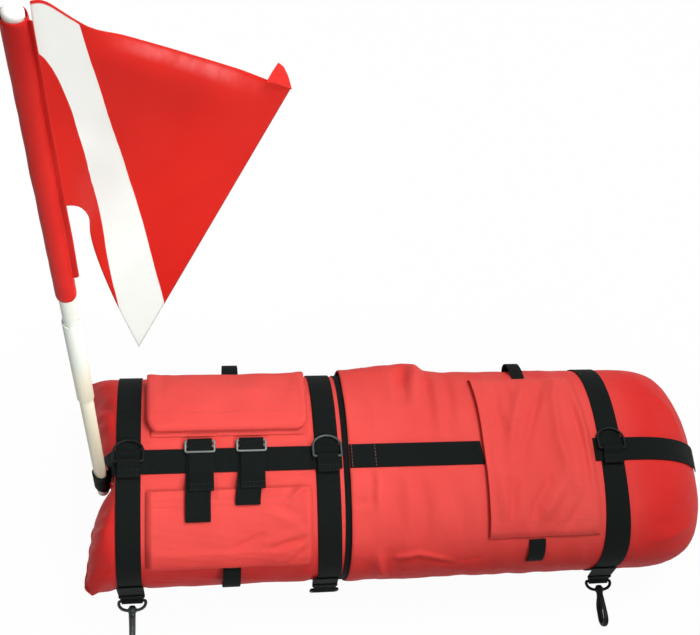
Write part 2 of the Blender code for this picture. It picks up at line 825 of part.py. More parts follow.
def make_hook_set(label, x, reach, material, lean=0.0):
    """A swivel hook: eye with a collar, hook body whose shank turns in it, and a sprung gate."""
    axis = make_hook_tab("hook_tab_" + label, x, reach, lean=lean)
    x = axis.x
    centre = axis.z
    collar_near = axis.y - eye_reach + collar_length * half
    collar_far = collar_near - collar_length
    make_swivel_eye("hook_eye_" + label, axis, material, collar_near)
    neck = collar_far - clearance
    tip = neck - hook_shank - hook_length
    rod = hook_wire * half
    bend = hook_half_height
    path = [(neck, centre), (neck - hook_shank * half, centre),
            (neck - hook_shank, centre - bend * hook_drop_share)]
    path += [(tip + bend + bend * math.sin(a), centre - bend * math.cos(a))
             for a in spaced(0, -math.pi, 9)]
    nose_y = path[-1][0] + hook_mouth * half
    path.append((nose_y, centre + bend))
    points = [Vector((x, py, pz)) for py, pz in path]
    radii = spaced(hook_root_share, hook_tip_share, len(points))
    mesh = wire_mesh("hook_" + label, points, rod, radii=radii)
    swivel = Vector((x, neck, centre))
    body = place("hook_" + label, mesh, material, origin=swivel)
    make_shank(label, body, swivel, collar_near, material)
    make_gate(label, x, neck, nose_y, centre, material)


def make_swivel_eye(name, axis, material, collar_near):
    path = [axis + Vector((eye_half_width * wide, -eye_reach * out, 0)) for wide, out in eye_outline_shares]
    mesh = wire_mesh(name, path, eye_wire * half, closed=True)
    made = place(name, mesh, material, origin=axis)
    start = Vector((axis.x, collar_near, axis.z))
    outline = [(0, 0), (collar_radius, 0), (collar_radius, collar_length), (0, collar_length)]
    hub = turned(name + "_hub", outline, start, (0, -1, 0), material, steps=16)
    over = 2 * clearance
    bore = shank_radius + clearance
    outline = [(0, -over), (bore, -over), (bore, collar_length + over), (0, collar_length + over)]
    hole = turned(name + "_bore", outline, start, (0, -1, 0), material, steps=16)
    for tool, operation in ((hub, "UNION"), (hole, "DIFFERENCE")):
        float_parts.objects.unlink(tool)
        cutters.objects.link(tool)
        tool.hide_render = True
        tool.display_type = "WIRE"
        joint = made.modifiers.new(operation.title(), "BOOLEAN")
        joint.operation = operation
        joint.object = tool
    return made


def make_shank(label, body, swivel, collar_near, material):
    """The shank runs through the collar and ends in a riveted head."""
    length = collar_near - swivel.y + clearance
    sunk = hook_wire * half
    outline = [(0, -sunk), (shank_radius, -sunk), (shank_radius, length), (shank_head_radius, length),
               (shank_head_radius, length + shank_head_length), (0, length + shank_head_length)]
    tool = turned("shank_" + label, outline, swivel, (0, 1, 0), material, steps=14)
    float_parts.objects.unlink(tool)
    cutters.objects.link(tool)
    tool.hide_render = True
    tool.display_type = "WIRE"
    joint = body.modifiers.new("Shank", "BOOLEAN")
    joint.operation = "UNION"
    joint.object = tool


def make_gate(label, x, neck, nose_y, centre, material):
    """The sprung gate between the hook's shoulder and its nose."""
    radius = gate_wire * half
    top = centre + hook_half_height
    rod = hook_wire * half * hook_root_share
    root = Vector((x, neck - hook_shank * gate_root_share, centre + rod + radius + clearance))
    end = Vector((x, nose_y + gate_gap, top))
    points = [root, root.lerp(end, half), end]
    mesh = wire_mesh("gate_" + label, points, radius)
    place("gate_" + label, mesh, material, origin=root)


def make_hooks():
    make_hook_set("tail", tail_strap_place, side_reach(), bare_steel)
    make_hook_set("nose", nose_strap_place, side_reach() + lap_step, ring_black, lean=nose_hook_lean)
    axis = make_hook_tab("mid_tab", mid_strap_place, side_reach(), height=mid_eye_height, lean=mid_eye_lean)
    tip = Vector((0, 0, -eye_reach))
    ends = [axis + Vector((side * eye_half_width, 0, 0)) for side in (-1, 1)]
    path = [ends[0], ends[0] + tip, ends[1] + tip, ends[1]]
    mesh = wire_mesh("mid_eye", path, eye_wire * half, closed=True)
    place("mid_eye", mesh, ring_black, origin=axis)


def mast_point(along):
    return Vector(mast_foot) + Vector(mast_lean).normalized() * along


def tube(name, low, high, inner, outer, material, steps=20):
    outline = [(outer, high - low), (outer, 0), (inner, 0), (inner, high - low)]
    return turned(name, outline, mast_point(low), mast_lean, material, steps=steps, hollow=True)


def make_mast():
    bore = tube_radius - tube_wall
    middle = (socket_low + socket_high) * half
    socket_bore = tube_radius + clearance
    tube("mast_lower", 0.0, middle - clearance, bore, tube_radius, mast_white)
    tube("mast_socket", socket_low, socket_high, socket_bore, socket_bore + socket_wall, mast_white)
    tube("mast_upper", middle + clearance, mast_length, bore, tube_radius, mast_white)
    plug = bore - clearance
    outline = [(0, cap_height), (tube_radius * cap_top_share, cap_height),
               (tube_radius, cap_height * cap_edge_share), (tube_radius, clearance), (plug, clearance),
               (plug, -plug_depth), (0, -plug_depth)]
    turned("mast_cap", outline, mast_point(mast_length), mast_lean, mast_white)
    outline = [(0, plug_depth), (plug, plug_depth), (plug, -clearance), (tube_radius, -clearance),
               (tube_radius * foot_share, -foot_height), (0, -foot_height)]
    turned("mast_foot_plug", outline, mast_point(0.0), mast_lean, rubber_black)
    inner = tube_radius + mast_loop_gap
    tube("mast_loop", mast_loop_low, mast_loop_low + mast_loop_height, inner, inner + webbing_thickness,
         webbing_black)


def flag_hoist():
    """The two ends of the flag's hoist edge, which lies along the sleeve."""
    clear = tube_radius + sleeve_gap + sleeve_wall + clearance + flag_thickness
    top = mast_point(sleeve_high - clearance) + Vector((clear, 0, 0))
    low = mast_point(sleeve_low + clearance) + Vector((clear, 0, 0))
    return top, low


def bezier(a, b, c, d, t):
    return ((1 - t) ** 3) * a + 3 * (1 - t) ** 2 * t * b + 3 * (1 - t) * t * t * c + t ** 3 * d


def flag_point(u, v):
    """A patch between the four edges; u runs to the fly and v down the hoist."""
    top, low = flag_hoist()
    top_fly, low_fly = top + Vector(flag_top_fly), low + Vector(flag_low_fly)
    upper = bezier(top, *[top + Vector(pull) for pull in flag_top_pulls], top_fly, u)
    lower = bezier(low, *[low + Vector(pull) for pull in flag_foot_pulls], low_fly, u)
    hoist = top.lerp(low, v)
    fly = top_fly.lerp(low_fly, v)
    across = upper.lerp(lower, v)
    down = hoist.lerp(fly, u)
    return across + down - hoist.lerp(fly, u)


def make_flag():
    inner = tube_radius + sleeve_gap
    origin = mast_point(sleeve_low)
    tube("flag_sleeve", sleeve_low, sleeve_high, inner, inner + sleeve_wall, cloth_red)
    rows = [[flag_point(k / flag_columns, j / flag_rows) for j in range(flag_rows + 1)]
            for k in range(flag_columns + 1)]
    mesh = grid_mesh("flag_cloth", rows, ring=False, outward=lambda p: Vector((0, -1, 0)))
    solidify(place("flag_cloth", mesh, cloth_red, origin=origin), flag_thickness, 0)


clear_scene()
float_parts = new_collection("dive_flag_float")
cutters = new_collection("cutters")
cover_red = paint("cover_red", red, 0.55)
webbing_black = paint("webbing_black", black, 0.7)
cloth_red = paint("cloth_red", flag_red, 0.6)
mast_white = paint("mast_white", white, 0.35)
plug_white = paint("plug_white", white, 0.4)
rubber_black = paint("rubber_black", black, 0.8)
ring_black = paint("ring_black", black, 0.4)
bare_steel = paint("bare_steel", grey_steel, 0.4, 0.9)
buckle_silver = paint("buckle_silver", silver, 0.35, 0.9)
bladder_amber = paint("bladder_amber", amber, 0.35)

make_tail_cover()
make_nose_cover()
make_closure_band()
make_body_straps()
make_runs()
make_valve(make_bladder())
make_rings()
make_pockets()
make_box_flap()
make_flank_loops()
make_gear_straps()
make_hooks()
make_mast()
make_flag()
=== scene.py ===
import math

import bmesh
import bpy
import numpy as np
from mathutils import Matrix, Vector


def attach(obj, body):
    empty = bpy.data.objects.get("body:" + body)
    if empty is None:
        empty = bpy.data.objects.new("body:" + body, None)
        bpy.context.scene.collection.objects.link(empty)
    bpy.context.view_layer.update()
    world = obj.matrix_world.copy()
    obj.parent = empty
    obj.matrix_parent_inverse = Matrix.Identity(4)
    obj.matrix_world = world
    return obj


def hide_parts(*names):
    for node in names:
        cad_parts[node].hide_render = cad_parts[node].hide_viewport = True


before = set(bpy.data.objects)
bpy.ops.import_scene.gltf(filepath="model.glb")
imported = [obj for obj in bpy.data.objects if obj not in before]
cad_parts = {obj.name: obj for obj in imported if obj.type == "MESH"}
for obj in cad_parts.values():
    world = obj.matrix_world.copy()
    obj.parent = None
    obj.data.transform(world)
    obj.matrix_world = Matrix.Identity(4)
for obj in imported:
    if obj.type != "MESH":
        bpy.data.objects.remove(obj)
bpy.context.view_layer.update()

# camera, as the photograph was taken
shot = {"lens": 55.23, "place": (-0.3064, -0.3567, 1.4491), "yaw": 22.48, "pitch": 65.21, "roll": 20.22}


def makeCamera():
    # forward from yaw and pitch, then the frame turned about it by roll
    yaw, pitch, roll = [math.radians(shot[key]) for key in ("yaw", "pitch", "roll")]
    forward = Vector((math.sin(yaw) * math.cos(pitch), math.cos(yaw) * math.cos(pitch), -math.sin(pitch)))
    right = Vector((math.cos(yaw), -math.sin(yaw), 0))
    up = right.cross(forward)
    side = math.cos(roll) * right + math.sin(roll) * up
    top = -math.sin(roll) * right + math.cos(roll) * up
    turn = Matrix((side, top, -forward)).transposed().to_4x4()
    data = bpy.data.cameras.new("camera")
    data.lens = shot["lens"]
    data.sensor_width = 36
    made = bpy.data.objects.new("camera", data)
    bpy.context.scene.collection.objects.link(made)
    made.matrix_world = Matrix.Translation(shot["place"]) @ turn
    bpy.context.scene.camera = made


makeCamera()
bpy.context.scene.view_settings.view_transform = "Standard"


class Wire:
    # a socket that can stand in a sum; every operator adds a Math node
    def __init__(self, paint, socket):
        self.paint, self.socket = paint, socket

    def maths(self, operation, *terms):
        return self.paint.add("Math", {"operation": operation}, dict(enumerate(terms)))[0]

    def __add__(self, other): return self.maths("ADD", self, other)
    def __radd__(self, other): return self.maths("ADD", other, self)
    def __sub__(self, other): return self.maths("SUBTRACT", self, other)
    def __rsub__(self, other): return self.maths("SUBTRACT", other, self)
    def __mul__(self, other): return self.maths("MULTIPLY", self, other)
    def __rmul__(self, other): return self.maths("MULTIPLY", other, self)
    def __truediv__(self, other): return self.maths("DIVIDE", self, other)
    def __rtruediv__(self, other): return self.maths("DIVIDE", other, self)
    def sine(self): return self.maths("SINE", self)
    def most(self, other): return self.maths("MAXIMUM", self, other)

    def ease(self, low, high):
        # 0 below low, 1 above high, smooth between
        return self.paint.add("MapRange", {"interpolation_type": "SMOOTHSTEP"},
                              {"Value": self, "From Min": low, "From Max": high})["Result"]


class Made:
    # a node whose outputs are read by name or number
    def __init__(self, paint, node):
        self.paint, self.node = paint, node

    def __getitem__(self, key):
        return Wire(self.paint, self.node.outputs[key])


class Paint:
    # the nodes of a material or of the world, round its first shader
    def __init__(self, owner, shader="Principled BSDF", **values):
        self.owner = owner
        owner.use_nodes = True
        self.tree = owner.node_tree
        self.shader = self.tree.nodes[shader]
        self.put(self.shader, values)

    def put(self, node, values):
        # numbers, colours and wires into sockets; an underscore stands for a space in a socket's name
        for key, value in values.items():
            socket = node.inputs[key.replace("_", " ") if isinstance(key, str) else key]
            if isinstance(value, Wire):
                self.tree.links.new(value.socket, socket)
            elif socket.type == "RGBA" and len(value) == 3:
                socket.default_value = (*value, 1)
            else:
                socket.default_value = value

    def add(self, kind, settings=None, values=None):
        node = self.tree.nodes.new("ShaderNode" + kind)
        for key, value in (settings or {}).items():
            if key == "stops":
                for k, (at, colour) in enumerate(value):
                    stop = node.color_ramp.elements[k] if k < 2 else node.color_ramp.elements.new(at)
                    stop.position, stop.color = at, (*colour, 1)
            else:
                setattr(node, key, value)
        self.put(node, values or {})
        return Made(self, node)

    def final(self, **values):
        self.put(self.shader, values)
        return self.owner

    def blend(self, other, share, output="Material Output"):
        # the first shader and another, mixed into the output
        mixed = self.add("MixShader", values={0: share}).node
        surface = self.tree.nodes[output].inputs["Surface"]
        for node, socket in ((self.shader, mixed.inputs[1]), (other.node, mixed.inputs[2]), (mixed, surface)):
            self.tree.links.new(node.outputs[0], socket)

    def mix(self, first, second, share):
        return self.add("Mix", {"data_type": "RGBA"}, {0: share, 6: first, 7: second})[2]

    def space(self):
        return self.add("TexCoord")["Object"]

    def split(self, vector):
        return self.add("SeparateXYZ", values={0: vector})

    def sheet(self):
        # the piece's own flat coordinates, u along and v across
        parts = self.split(self.add("UVMap", {"uv_map": "flat"})["UV"])
        return parts["X"], parts["Y"]

    def grain(self, scale, detail=2.0, rough=0.5, stretch=None):
        where = self.space()
        if stretch:
            where = self.add("Mapping", values={"Vector": where, "Scale": stretch})["Vector"]
        return self.add("TexNoise", values={"Vector": where, "Scale": scale, "Detail": detail,
                                            "Roughness": rough})["Fac"]

    def bump(self, height, distance, strength, under=None):
        values = {"Height": height, "Distance": distance, "Strength": strength}
        if under is not None:
            values["Normal"] = under
        return self.add("Bump", values=values)["Normal"]


def tone(red, green, blue):
    # a screen colour of 0 to 255 as linear light
    share = np.array((red, green, blue)) / 255
    return tuple(float(x) for x in np.where(share <= 0.04045, share / 12.92, ((share + 0.055) / 1.055) ** 2.4))


tau = 2 * math.pi


def weave(paint, pitch, size=(1, 1)):
    # plain weave: the over and under of two threads, as a product of two sines
    u, v = paint.sheet()
    return (u * (tau * size[0] / pitch)).sine() * (v * (tau * size[1] / pitch)).sine()


def makeNylon(name, colour, dark, pitch=0.0011, rough=0.5, paintedTopSheen=None, deep=None):
    # on the cover, a painted sheen lightens the top between the tail strap and the nose, and painted shade darkens
    # the lower flanks
    paint = Paint(bpy.data.materials.new(name), Specular_IOR_Level=0.08)
    patches, dust = paint.grain(9.0, 3.0), paint.grain(160.0)
    base = paint.mix(dark, colour, patches.ease(0.25, 0.6) * 0.8 + 0.2)
    if paintedTopSheen:
        place = paint.split(paint.space())
        x, z = place["X"], place["Z"]
        # painted shade: the deep colour on the flanks below a height of 0.05, fading out by 0.14
        base = paint.mix(deep, base, z.ease(0.05, 0.14))
        # painted sheen: a paler colour on the top above a height of about 0.1, between the tail strap and the nose
        lit = z.ease(0.105, 0.170) * x.ease(-0.392, -0.350) * (1 - x.ease(0.22, 0.31))
        base = paint.mix(base, paintedTopSheen, lit * (patches * 0.5 + 0.45))
    base = paint.mix(base, (0.0, 0.0, 0.0), dust.ease(0.55, 0.8) * 0.05)
    creases = paint.grain(38.0, 3.0, 0.6, stretch=(1.0, 0.6, 0.8))
    normal = paint.bump(weave(paint, pitch), 0.00016, 0.6, paint.bump(creases, 0.0009, 0.32))
    return paint.final(Base_Color=base, Roughness=rough + (patches - 0.5) * 0.16 + (dust - 0.5) * 0.1,
                       Normal=normal)


def makeWebbing(name, colour, wearAndSheen, rib=0.0021, thread=0.0009):
    # ribs lie across the strap, and a herringbone of fine threads runs over them
    paint = Paint(bpy.data.materials.new(name), Specular_IOR_Level=0.12)
    u, v = paint.sheet()
    ribs = (u * (tau / rib)).sine()
    threads = ((u + v) * (tau / thread)).sine() * ((u - v) * (tau / thread)).sine()
    fluff, patches = paint.grain(420.0, 3.0, 0.6), paint.grain(14.0)
    base = paint.mix(colour, wearAndSheen, ribs.ease(-0.2, 1.0) * 0.35 * fluff.ease(0.3, 0.7) + patches * 0.12)
    normal = paint.bump(fluff, 0.0003, 0.35, paint.bump(ribs * 0.7 + threads * 0.5, 0.00022, 0.9))
    return paint.final(Base_Color=base, Roughness=0.62 + fluff * 0.25, Normal=normal)


def makeFlagCloth(name, red, dark, wearAndSheen, white, shade, through=0.25):
    # the stripe is where the sheet's own stripe value is above nought; a painted sheen pales the red in a streak just
    # below the top edge; thin cloth lets some light through
    paint = Paint(bpy.data.materials.new(name), Specular_IOR_Level=0.12)
    stripe = paint.add("Attribute", {"attribute_name": "stripe"})["Fac"].ease(-0.0025, 0.0025)
    patches, creases = paint.grain(7.0), paint.grain(30.0, 3.0, 0.6)
    u, v = paint.sheet()
    # painted sheen: a paler streak just below the top edge, where the curled cloth would catch the light
    paintedSheenStreak = v.ease(0.004, 0.02) * (1 - v.ease(0.030, 0.085)) * u.ease(0.22, 0.40) * (1 - u.ease(0.60, 0.95))
    reds = paint.mix(dark, red, patches.ease(0.2, 0.65))
    reds = paint.mix(reds, wearAndSheen, paintedSheenStreak * (creases.ease(0.3, 0.7) * 0.6 + 0.2))
    colour = paint.mix(reds, paint.mix(shade, white, patches.ease(0.3, 0.55)), stripe)
    threads = weave(paint, 0.0008, (0.36, 0.33))
    normal = paint.bump(threads, 0.00012, 0.5, paint.bump(creases, 0.0008, 0.4))
    paint.blend(paint.add("BsdfTranslucent", values={"Color": colour, "Normal": normal}), through)
    return paint.final(Base_Color=colour, Roughness=0.5 + (patches - 0.5) * 0.15, Normal=normal)


def makeTubePlastic(name, high, middle, low, grime):
    # a stiff white pipe that has yellowed towards its foot
    paint = Paint(bpy.data.materials.new(name))
    uneven = paint.grain(12.0)
    height = (paint.split(paint.space())["Z"] - 0.1) / 0.42 + (uneven - 0.5) * 0.08
    stops = ((0.0, low), (0.75, middle), (0.84, high), (1.0, high))
    scuffs = paint.grain(60.0, 4.0, 0.65, stretch=(1, 1, 0.15))
    base = paint.mix(paint.add("ValToRGB", {"stops": stops}, {0: height})["Color"], grime,
                     scuffs.ease(0.62, 0.78) * 0.3)
    return paint.final(Base_Color=base, Roughness=0.34 + scuffs * 0.22, Normal=paint.bump(scuffs, 0.0002, 0.25))


def makeMetal(name, colour, wearAndSheen, rough, metallic, shine=0.5):
    # plated or painted wire: fine scratches, and bare metal where it rubs
    paint = Paint(bpy.data.materials.new(name), Specular_IOR_Level=shine)
    wear, fine = paint.grain(260.0, 4.0, 0.6), paint.grain(900.0)
    edge = wear.ease(0.55, 0.75)
    return paint.final(Base_Color=paint.mix(colour, wearAndSheen, edge * 0.6), Metallic=metallic + edge * 0.1,
                       Roughness=rough + (fine - 0.5) * 0.2, Normal=paint.bump(wear, 0.00015, 0.5))


def makePlain(name, colour, dark, rough, scale=120.0, **values):
    # moulded rubber, film or thread: a soft mottle and a fine grain
    paint = Paint(bpy.data.materials.new(name), **values)
    mottle, fine = paint.grain(scale, 3.0), paint.grain(scale * 8)
    return paint.final(Base_Color=paint.mix(dark, colour, mottle.ease(0.3, 0.7)),
                       Roughness=rough + (mottle - 0.5) * 0.2, Normal=paint.bump(fine, 0.0001, 0.4))


coverRed = makeNylon("coverNylon", tone(226, 50, 46), tone(214, 42, 40), paintedTopSheen=tone(236, 90, 84),
                     deep=tone(208, 22, 24))
coverRim = makeNylon("hemNylon", tone(228, 70, 64), tone(210, 52, 48))
sleeveRed = makeNylon("sleeveNylon", tone(216, 44, 38), tone(198, 32, 30))
flagNylon = makeFlagCloth("flagNylon", tone(226, 40, 30), tone(216, 33, 26), tone(246, 120, 118),
                          tone(252, 254, 250), tone(244, 248, 243))
webbingBlack = makeWebbing("webbing", tone(15, 21, 20), tone(32, 39, 37))
threadRed = makePlain("redThread", tone(224, 92, 84), tone(190, 60, 56), 0.6, 900.0)
threadBlack = makePlain("blackThread", tone(30, 36, 35), tone(18, 22, 22), 0.6, 900.0)
threadPale = makePlain("paleThread", tone(196, 120, 116), tone(150, 84, 80), 0.6, 900.0)
tubeWhite = makeTubePlastic("tubePlastic", tone(232, 238, 228), tone(240, 238, 212), tone(226, 218, 190),
                            tone(170, 160, 130))
capWhite = makePlain("capPlastic", tone(250, 251, 248), tone(238, 240, 234), 0.4)
rubberBlack = makePlain("footRubber", tone(26, 28, 27), tone(16, 18, 17), 0.75)
steelGrey = makeMetal("bareSteel", tone(70, 78, 78), tone(110, 118, 114), 0.42, 0.5)
steelBlack = makeMetal("blackSteel", tone(8, 11, 11), tone(22, 26, 25), 0.55, 0.0, shine=0.25)
nickel = makeMetal("nickelPlate", tone(104, 108, 104), tone(76, 80, 76), 0.42, 0.55)
filmAmber = makePlain("bladderFilm", tone(226, 180, 90), tone(206, 158, 70), 0.25, 60.0, Coat_Weight=0.3)
print("materials made")


def unit(vectors):
    return vectors / np.maximum(np.linalg.norm(vectors, axis=-1, keepdims=True), 1e-12)


def smoothStep(share):
    share = np.clip(share, 0, 1)
    return share * share * (3 - 2 * share)


def bell(distance, width):
    return np.exp(-(distance / width) ** 2)


def power(value, exponent):
    return np.sign(value) * np.abs(value) ** exponent


def points3(x, y, z):
    return np.stack(np.broadcast_arrays(x, y, z), axis=-1).astype(float)


def ripple(a, b, pitch, seed, waves=7):
    # an uneven field of about -1 to 1: sines of random headings, pitches and phases, added up
    draw = np.random.default_rng(seed)
    total = 0
    for heading, share, phase in zip(draw.uniform(0, tau, waves), draw.uniform(0.7, 1.6, waves),
                                     draw.uniform(0, tau, waves)):
        total = total + np.sin(tau * (a * math.cos(heading) + b * math.sin(heading)) / (pitch * share) + phase)
    return total / math.sqrt(waves)


def creased(a, b, folds):
    # ridges and furrows along polylines of the flat cloth: height times a bell of the distance from
    # the line, fading out at both of its ends; folds are in millimetres
    total = 0
    for width, height, *points in folds:
        points, nearest, where = np.array(points) / 1000, np.inf, 0
        for k, (start, run) in enumerate(zip(points, np.diff(points, axis=0))):
            t = np.clip(((a - start[0]) * run[0] + (b - start[1]) * run[1]) / (run ** 2).sum(), 0, 1)
            away = np.hypot(a - start[0] - t * run[0], b - start[1] - t * run[1])
            where = np.where(away < nearest, (k + t) / (len(points) - 1), where)
            nearest = np.minimum(nearest, away)
        ends = np.sqrt(np.sin(math.pi * np.clip(where, 0.03, 0.97)))
        total = total + height / 1000 * bell(nearest, width / 1000) * ends
    return total


def rawMesh(name, points, quads, flat=None):
    mesh = bpy.data.meshes.new(name)
    mesh.vertices.add(len(points))
    mesh.vertices.foreach_set("co", np.ascontiguousarray(points, np.float32).ravel())
    mesh.loops.add(quads.size)
    mesh.loops.foreach_set("vertex_index", np.ascontiguousarray(quads, np.int32).ravel())
    mesh.polygons.add(len(quads))
    mesh.polygons.foreach_set("loop_start", np.arange(0, quads.size, 4, dtype=np.int32))
    mesh.update(calc_edges=True)
    if flat is not None:
        layer = mesh.uv_layers.new(name="flat")
        layer.data.foreach_set("uv", np.ascontiguousarray(flat, np.float32).ravel())
    mesh.validate()
    mesh.shade_smooth()
    return mesh


def slab(name, inner, normals, thickness, ring=False, flat=None):
    # cloth or webbing of even thickness on a grid of points: an inner and an outer layer that
    # draw together at the rim, so that the edge is round; a ring wraps its first axis
    n, m = inner.shape[:2]
    steps = np.linalg.norm(np.roll(inner, -1, 0) - inner, axis=-1)
    if not ring:
        steps[-1] = 0
    u = np.concatenate([[0], np.cumsum(steps.mean(axis=1))])
    v = np.concatenate([np.zeros((n, 1)), np.cumsum(np.linalg.norm(np.diff(inner, axis=1), axis=-1), axis=1)], 1)
    rim = np.minimum(v, v[:, -1:] - v)
    if not ring:
        rim = np.minimum(rim, np.minimum(u[:n], u[n - 1] - u[:n])[:, None])
    half = thickness / 2
    rest = half * np.sqrt(1 - 0.9 * (1 - np.clip(rim / half, 0, 1)) ** 2)
    middle = inner + normals * half
    points = np.concatenate([(middle - normals * rest[..., None]).reshape(-1, 3),
                             (middle + normals * rest[..., None]).reshape(-1, 3)])
    rows = n if ring else n - 1
    size = (n + 1) * m
    i, j = np.meshgrid(np.arange(rows), np.arange(m - 1), indexing="ij")

    def at(di, dj, layer, i=i, j=j):
        return ((i + di) * m + j + dj + layer * size).ravel()

    edge = np.arange(rows)
    wide = np.arange(m - 1)
    faces = [(at(0, 0, 1), at(1, 0, 1), at(1, 1, 1), at(0, 1, 1)),
             (at(0, 0, 0), at(0, 1, 0), at(1, 1, 0), at(1, 0, 0)),
             tuple(at(d, 0, layer, edge, 0) for d, layer in ((0, 0), (1, 0), (1, 1), (0, 1))),
             tuple(at(d, 0, layer, edge, m - 1) for d, layer in ((1, 0), (0, 0), (0, 1), (1, 1)))]
    if not ring:
        faces.append(tuple(at(0, d, layer, 0, wide) for d, layer in ((1, 0), (0, 0), (0, 1), (1, 1))))
        faces.append(tuple(at(0, d, layer, n - 1, wide) for d, layer in ((0, 0), (1, 0), (1, 1), (0, 1))))
    quads = np.concatenate([np.stack(face, -1) for face in faces])
    if (np.cross(steep(inner, 0, ring), steep(inner, 1, False)) * normals).sum() < 0:
        quads = quads[:, ::-1]
    layer, place = np.divmod(quads, size)
    row, column = np.divmod(place, m)
    if flat is None:
        uv = np.stack([u[row], v[row % n, column]], -1)
    else:
        uv = flat[row % n, column]
    return rawMesh(name, points, layer * n * m + (row % n) * m + column, uv)


def steep(grid, axis, ring):
    if ring:
        return np.roll(grid, -1, axis) - np.roll(grid, 1, axis)
    return np.gradient(grid, axis=axis)


def gridNormals(grid, towards=None, ring=False):
    # cross product of the two slopes, turned to the side that towards gives, or else out from the float
    towards = grid * (0, 1, 1) - (0, 0, hull["axis"]) if towards is None else towards
    normals = unit(np.cross(steep(grid, 0, ring), steep(grid, 1, False)))
    return normals * (1 if (normals * towards).sum() > 0 else -1)


def mended(mesh, act):
    # a mesh after one step of work on it, with its faces turned outwards
    work = bmesh.new()
    work.from_mesh(mesh)
    act(work)
    bmesh.ops.recalc_face_normals(work, faces=work.faces)
    work.to_mesh(mesh)
    work.free()
    return mesh


def solid(name, grid):
    # a closed surface: rows are rings, and the first and last ring shrink to a pole or meet each other
    n, m = grid.shape[:2]
    i, j = np.meshgrid(np.arange(n - 1), np.arange(m), indexing="ij")
    after = (j + 1) % m
    quads = np.stack([i * m + j, i * m + after, (i + 1) * m + after, (i + 1) * m + j], -1).reshape(-1, 4)
    mesh = mended(rawMesh(name, grid.reshape(-1, 3), quads),
                  lambda work: bmesh.ops.remove_doubles(work, verts=work.verts, dist=1e-6))
    mesh.set_sharp_from_angle(angle=math.radians(55))
    return mesh


def filleted(corners, radius, steps=6, closed=False):
    # a path through corners, each rounded by a short parabola between its two sides
    corners = np.array(corners, float)
    before, after = np.roll(corners, 1, 0), np.roll(corners, -1, 0)
    reachIn = np.minimum(np.linalg.norm(before - corners, axis=1) / 2, radius)[:, None]
    reachOut = np.minimum(np.linalg.norm(after - corners, axis=1) / 2, radius)[:, None]
    start, end = corners + unit(before - corners) * reachIn, corners + unit(after - corners) * reachOut
    t = np.linspace(0, 1, steps)[None, :, None]
    bends = (1 - t) ** 2 * start[:, None] + 2 * t * (1 - t) * corners[:, None] + t * t * end[:, None]
    if closed:
        return bends.reshape(-1, 3)
    return np.concatenate([corners[:1], bends[1:-1].reshape(-1, 3), corners[-1:]])


def rod(path, radius, binormal, closed=False, sides=14, tall=1.0, square=1.0):
    # a wire along a flat path: a ring of points square to the path at each step; open ends are domes
    path = np.asarray(path, float)
    radius = np.broadcast_to(radius, len(path)).astype(float)
    tangent = unit(steep(path, 0, closed))
    if not closed:
        steps = 4
        dome = np.linspace(0, 1, steps + 1)[1:, None] * math.pi / 2
        first = path[0] - tangent[0] * radius[0] * np.sin(dome)
        last = path[-1] + tangent[-1] * radius[-1] * np.sin(dome)
        shrink = np.cos(dome)[:, 0]
        shrink[-1] = 0
        path = np.concatenate([first[::-1], path, last])
        tangent = np.pad(tangent, ((steps, steps), (0, 0)), "edge")
        radius = np.concatenate([radius[0] * shrink[::-1], radius, radius[-1] * shrink])
    binormal = unit(np.broadcast_to(np.asarray(binormal, float), path.shape))
    normal = unit(np.cross(binormal, tangent))
    turn = np.arange(sides) * tau / sides
    a, b = power(np.cos(turn), square), tall * power(np.sin(turn), square)
    ring = normal[:, None] * a[None, :, None] + binormal[:, None] * b[None, :, None]
    grid = path[:, None] + radius[:, None, None] * ring
    return np.concatenate([grid, grid[:1]]) if closed else grid


def wheel(axis, turn, hint=(0.0, 1.0, 0.0)):
    # the directions square to an axis, at a turn about it
    side = unit(np.cross(axis, hint))
    return np.cos(turn)[..., None] * side + np.sin(turn)[..., None] * np.cross(axis, side)


def spun(profile, start, direction, sides=40):
    # a profile of (radius, height) points turned round an axis from start
    profile, axis = np.array(profile, float), unit(np.array(direction, float))
    out = wheel(axis, np.arange(sides) * tau / sides, (0.0, 1.0, 0.31))
    return np.array(start) + profile[:, 1, None, None] * axis + profile[:, 0, None, None] * out


def bezier(points, t):
    a, b, c, d = (np.asarray(p, float) for p in points)
    t = t[..., None]
    return (1 - t) ** 3 * a + 3 * (1 - t) ** 2 * t * b + 3 * (1 - t) * t * t * c + t ** 3 * d


def joined(name, meshes):
    work = bmesh.new()
    for mesh in meshes:
        work.from_mesh(mesh)
        bpy.data.meshes.remove(mesh)
    made = bpy.data.meshes.new(name)
    work.to_mesh(made)
    work.free()
    return made


def piece(mesh, material, body, replaced=None):
    made = bpy.data.objects.new(mesh.name, mesh)
    bpy.context.scene.collection.objects.link(made)
    mesh.materials.clear()
    mesh.materials.append(material)
    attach(made, body)
    if replaced:
        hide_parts(replaced)
    return made


# a stitch is a pill of five rings, each with its place along the pill and its width
stitch = {"pitch": 0.0042, "long": 0.0028, "radius": 0.00032, "sides": 5,
          "along": (0.0, 0.14, 0.5, 0.86, 1.0), "swell": (0.05, 0.8, 1.0, 0.8, 0.05)}
seams = {}


def sew(kind, points, normals, *rows):
    # notes a row of stitches along each of some rows of a grid, lying on the cloth
    normals = np.broadcast_to(normals, points.shape)
    for row in rows:
        path, up = points[row], normals[row]
        run = np.concatenate([[0], np.cumsum(np.linalg.norm(np.diff(path, axis=0), axis=1))])
        count = max(int(run[-1] / stitch["pitch"]), 1)
        at = (np.arange(count) + 0.5) * run[-1] / count

        def on(values, where):
            return np.stack([np.interp(where, run, values[:, k]) for k in range(3)], -1)

        half = stitch["long"] / 2
        seams.setdefault(kind, []).append((on(path, at - half), on(path, at + half), unit(on(up, at))))


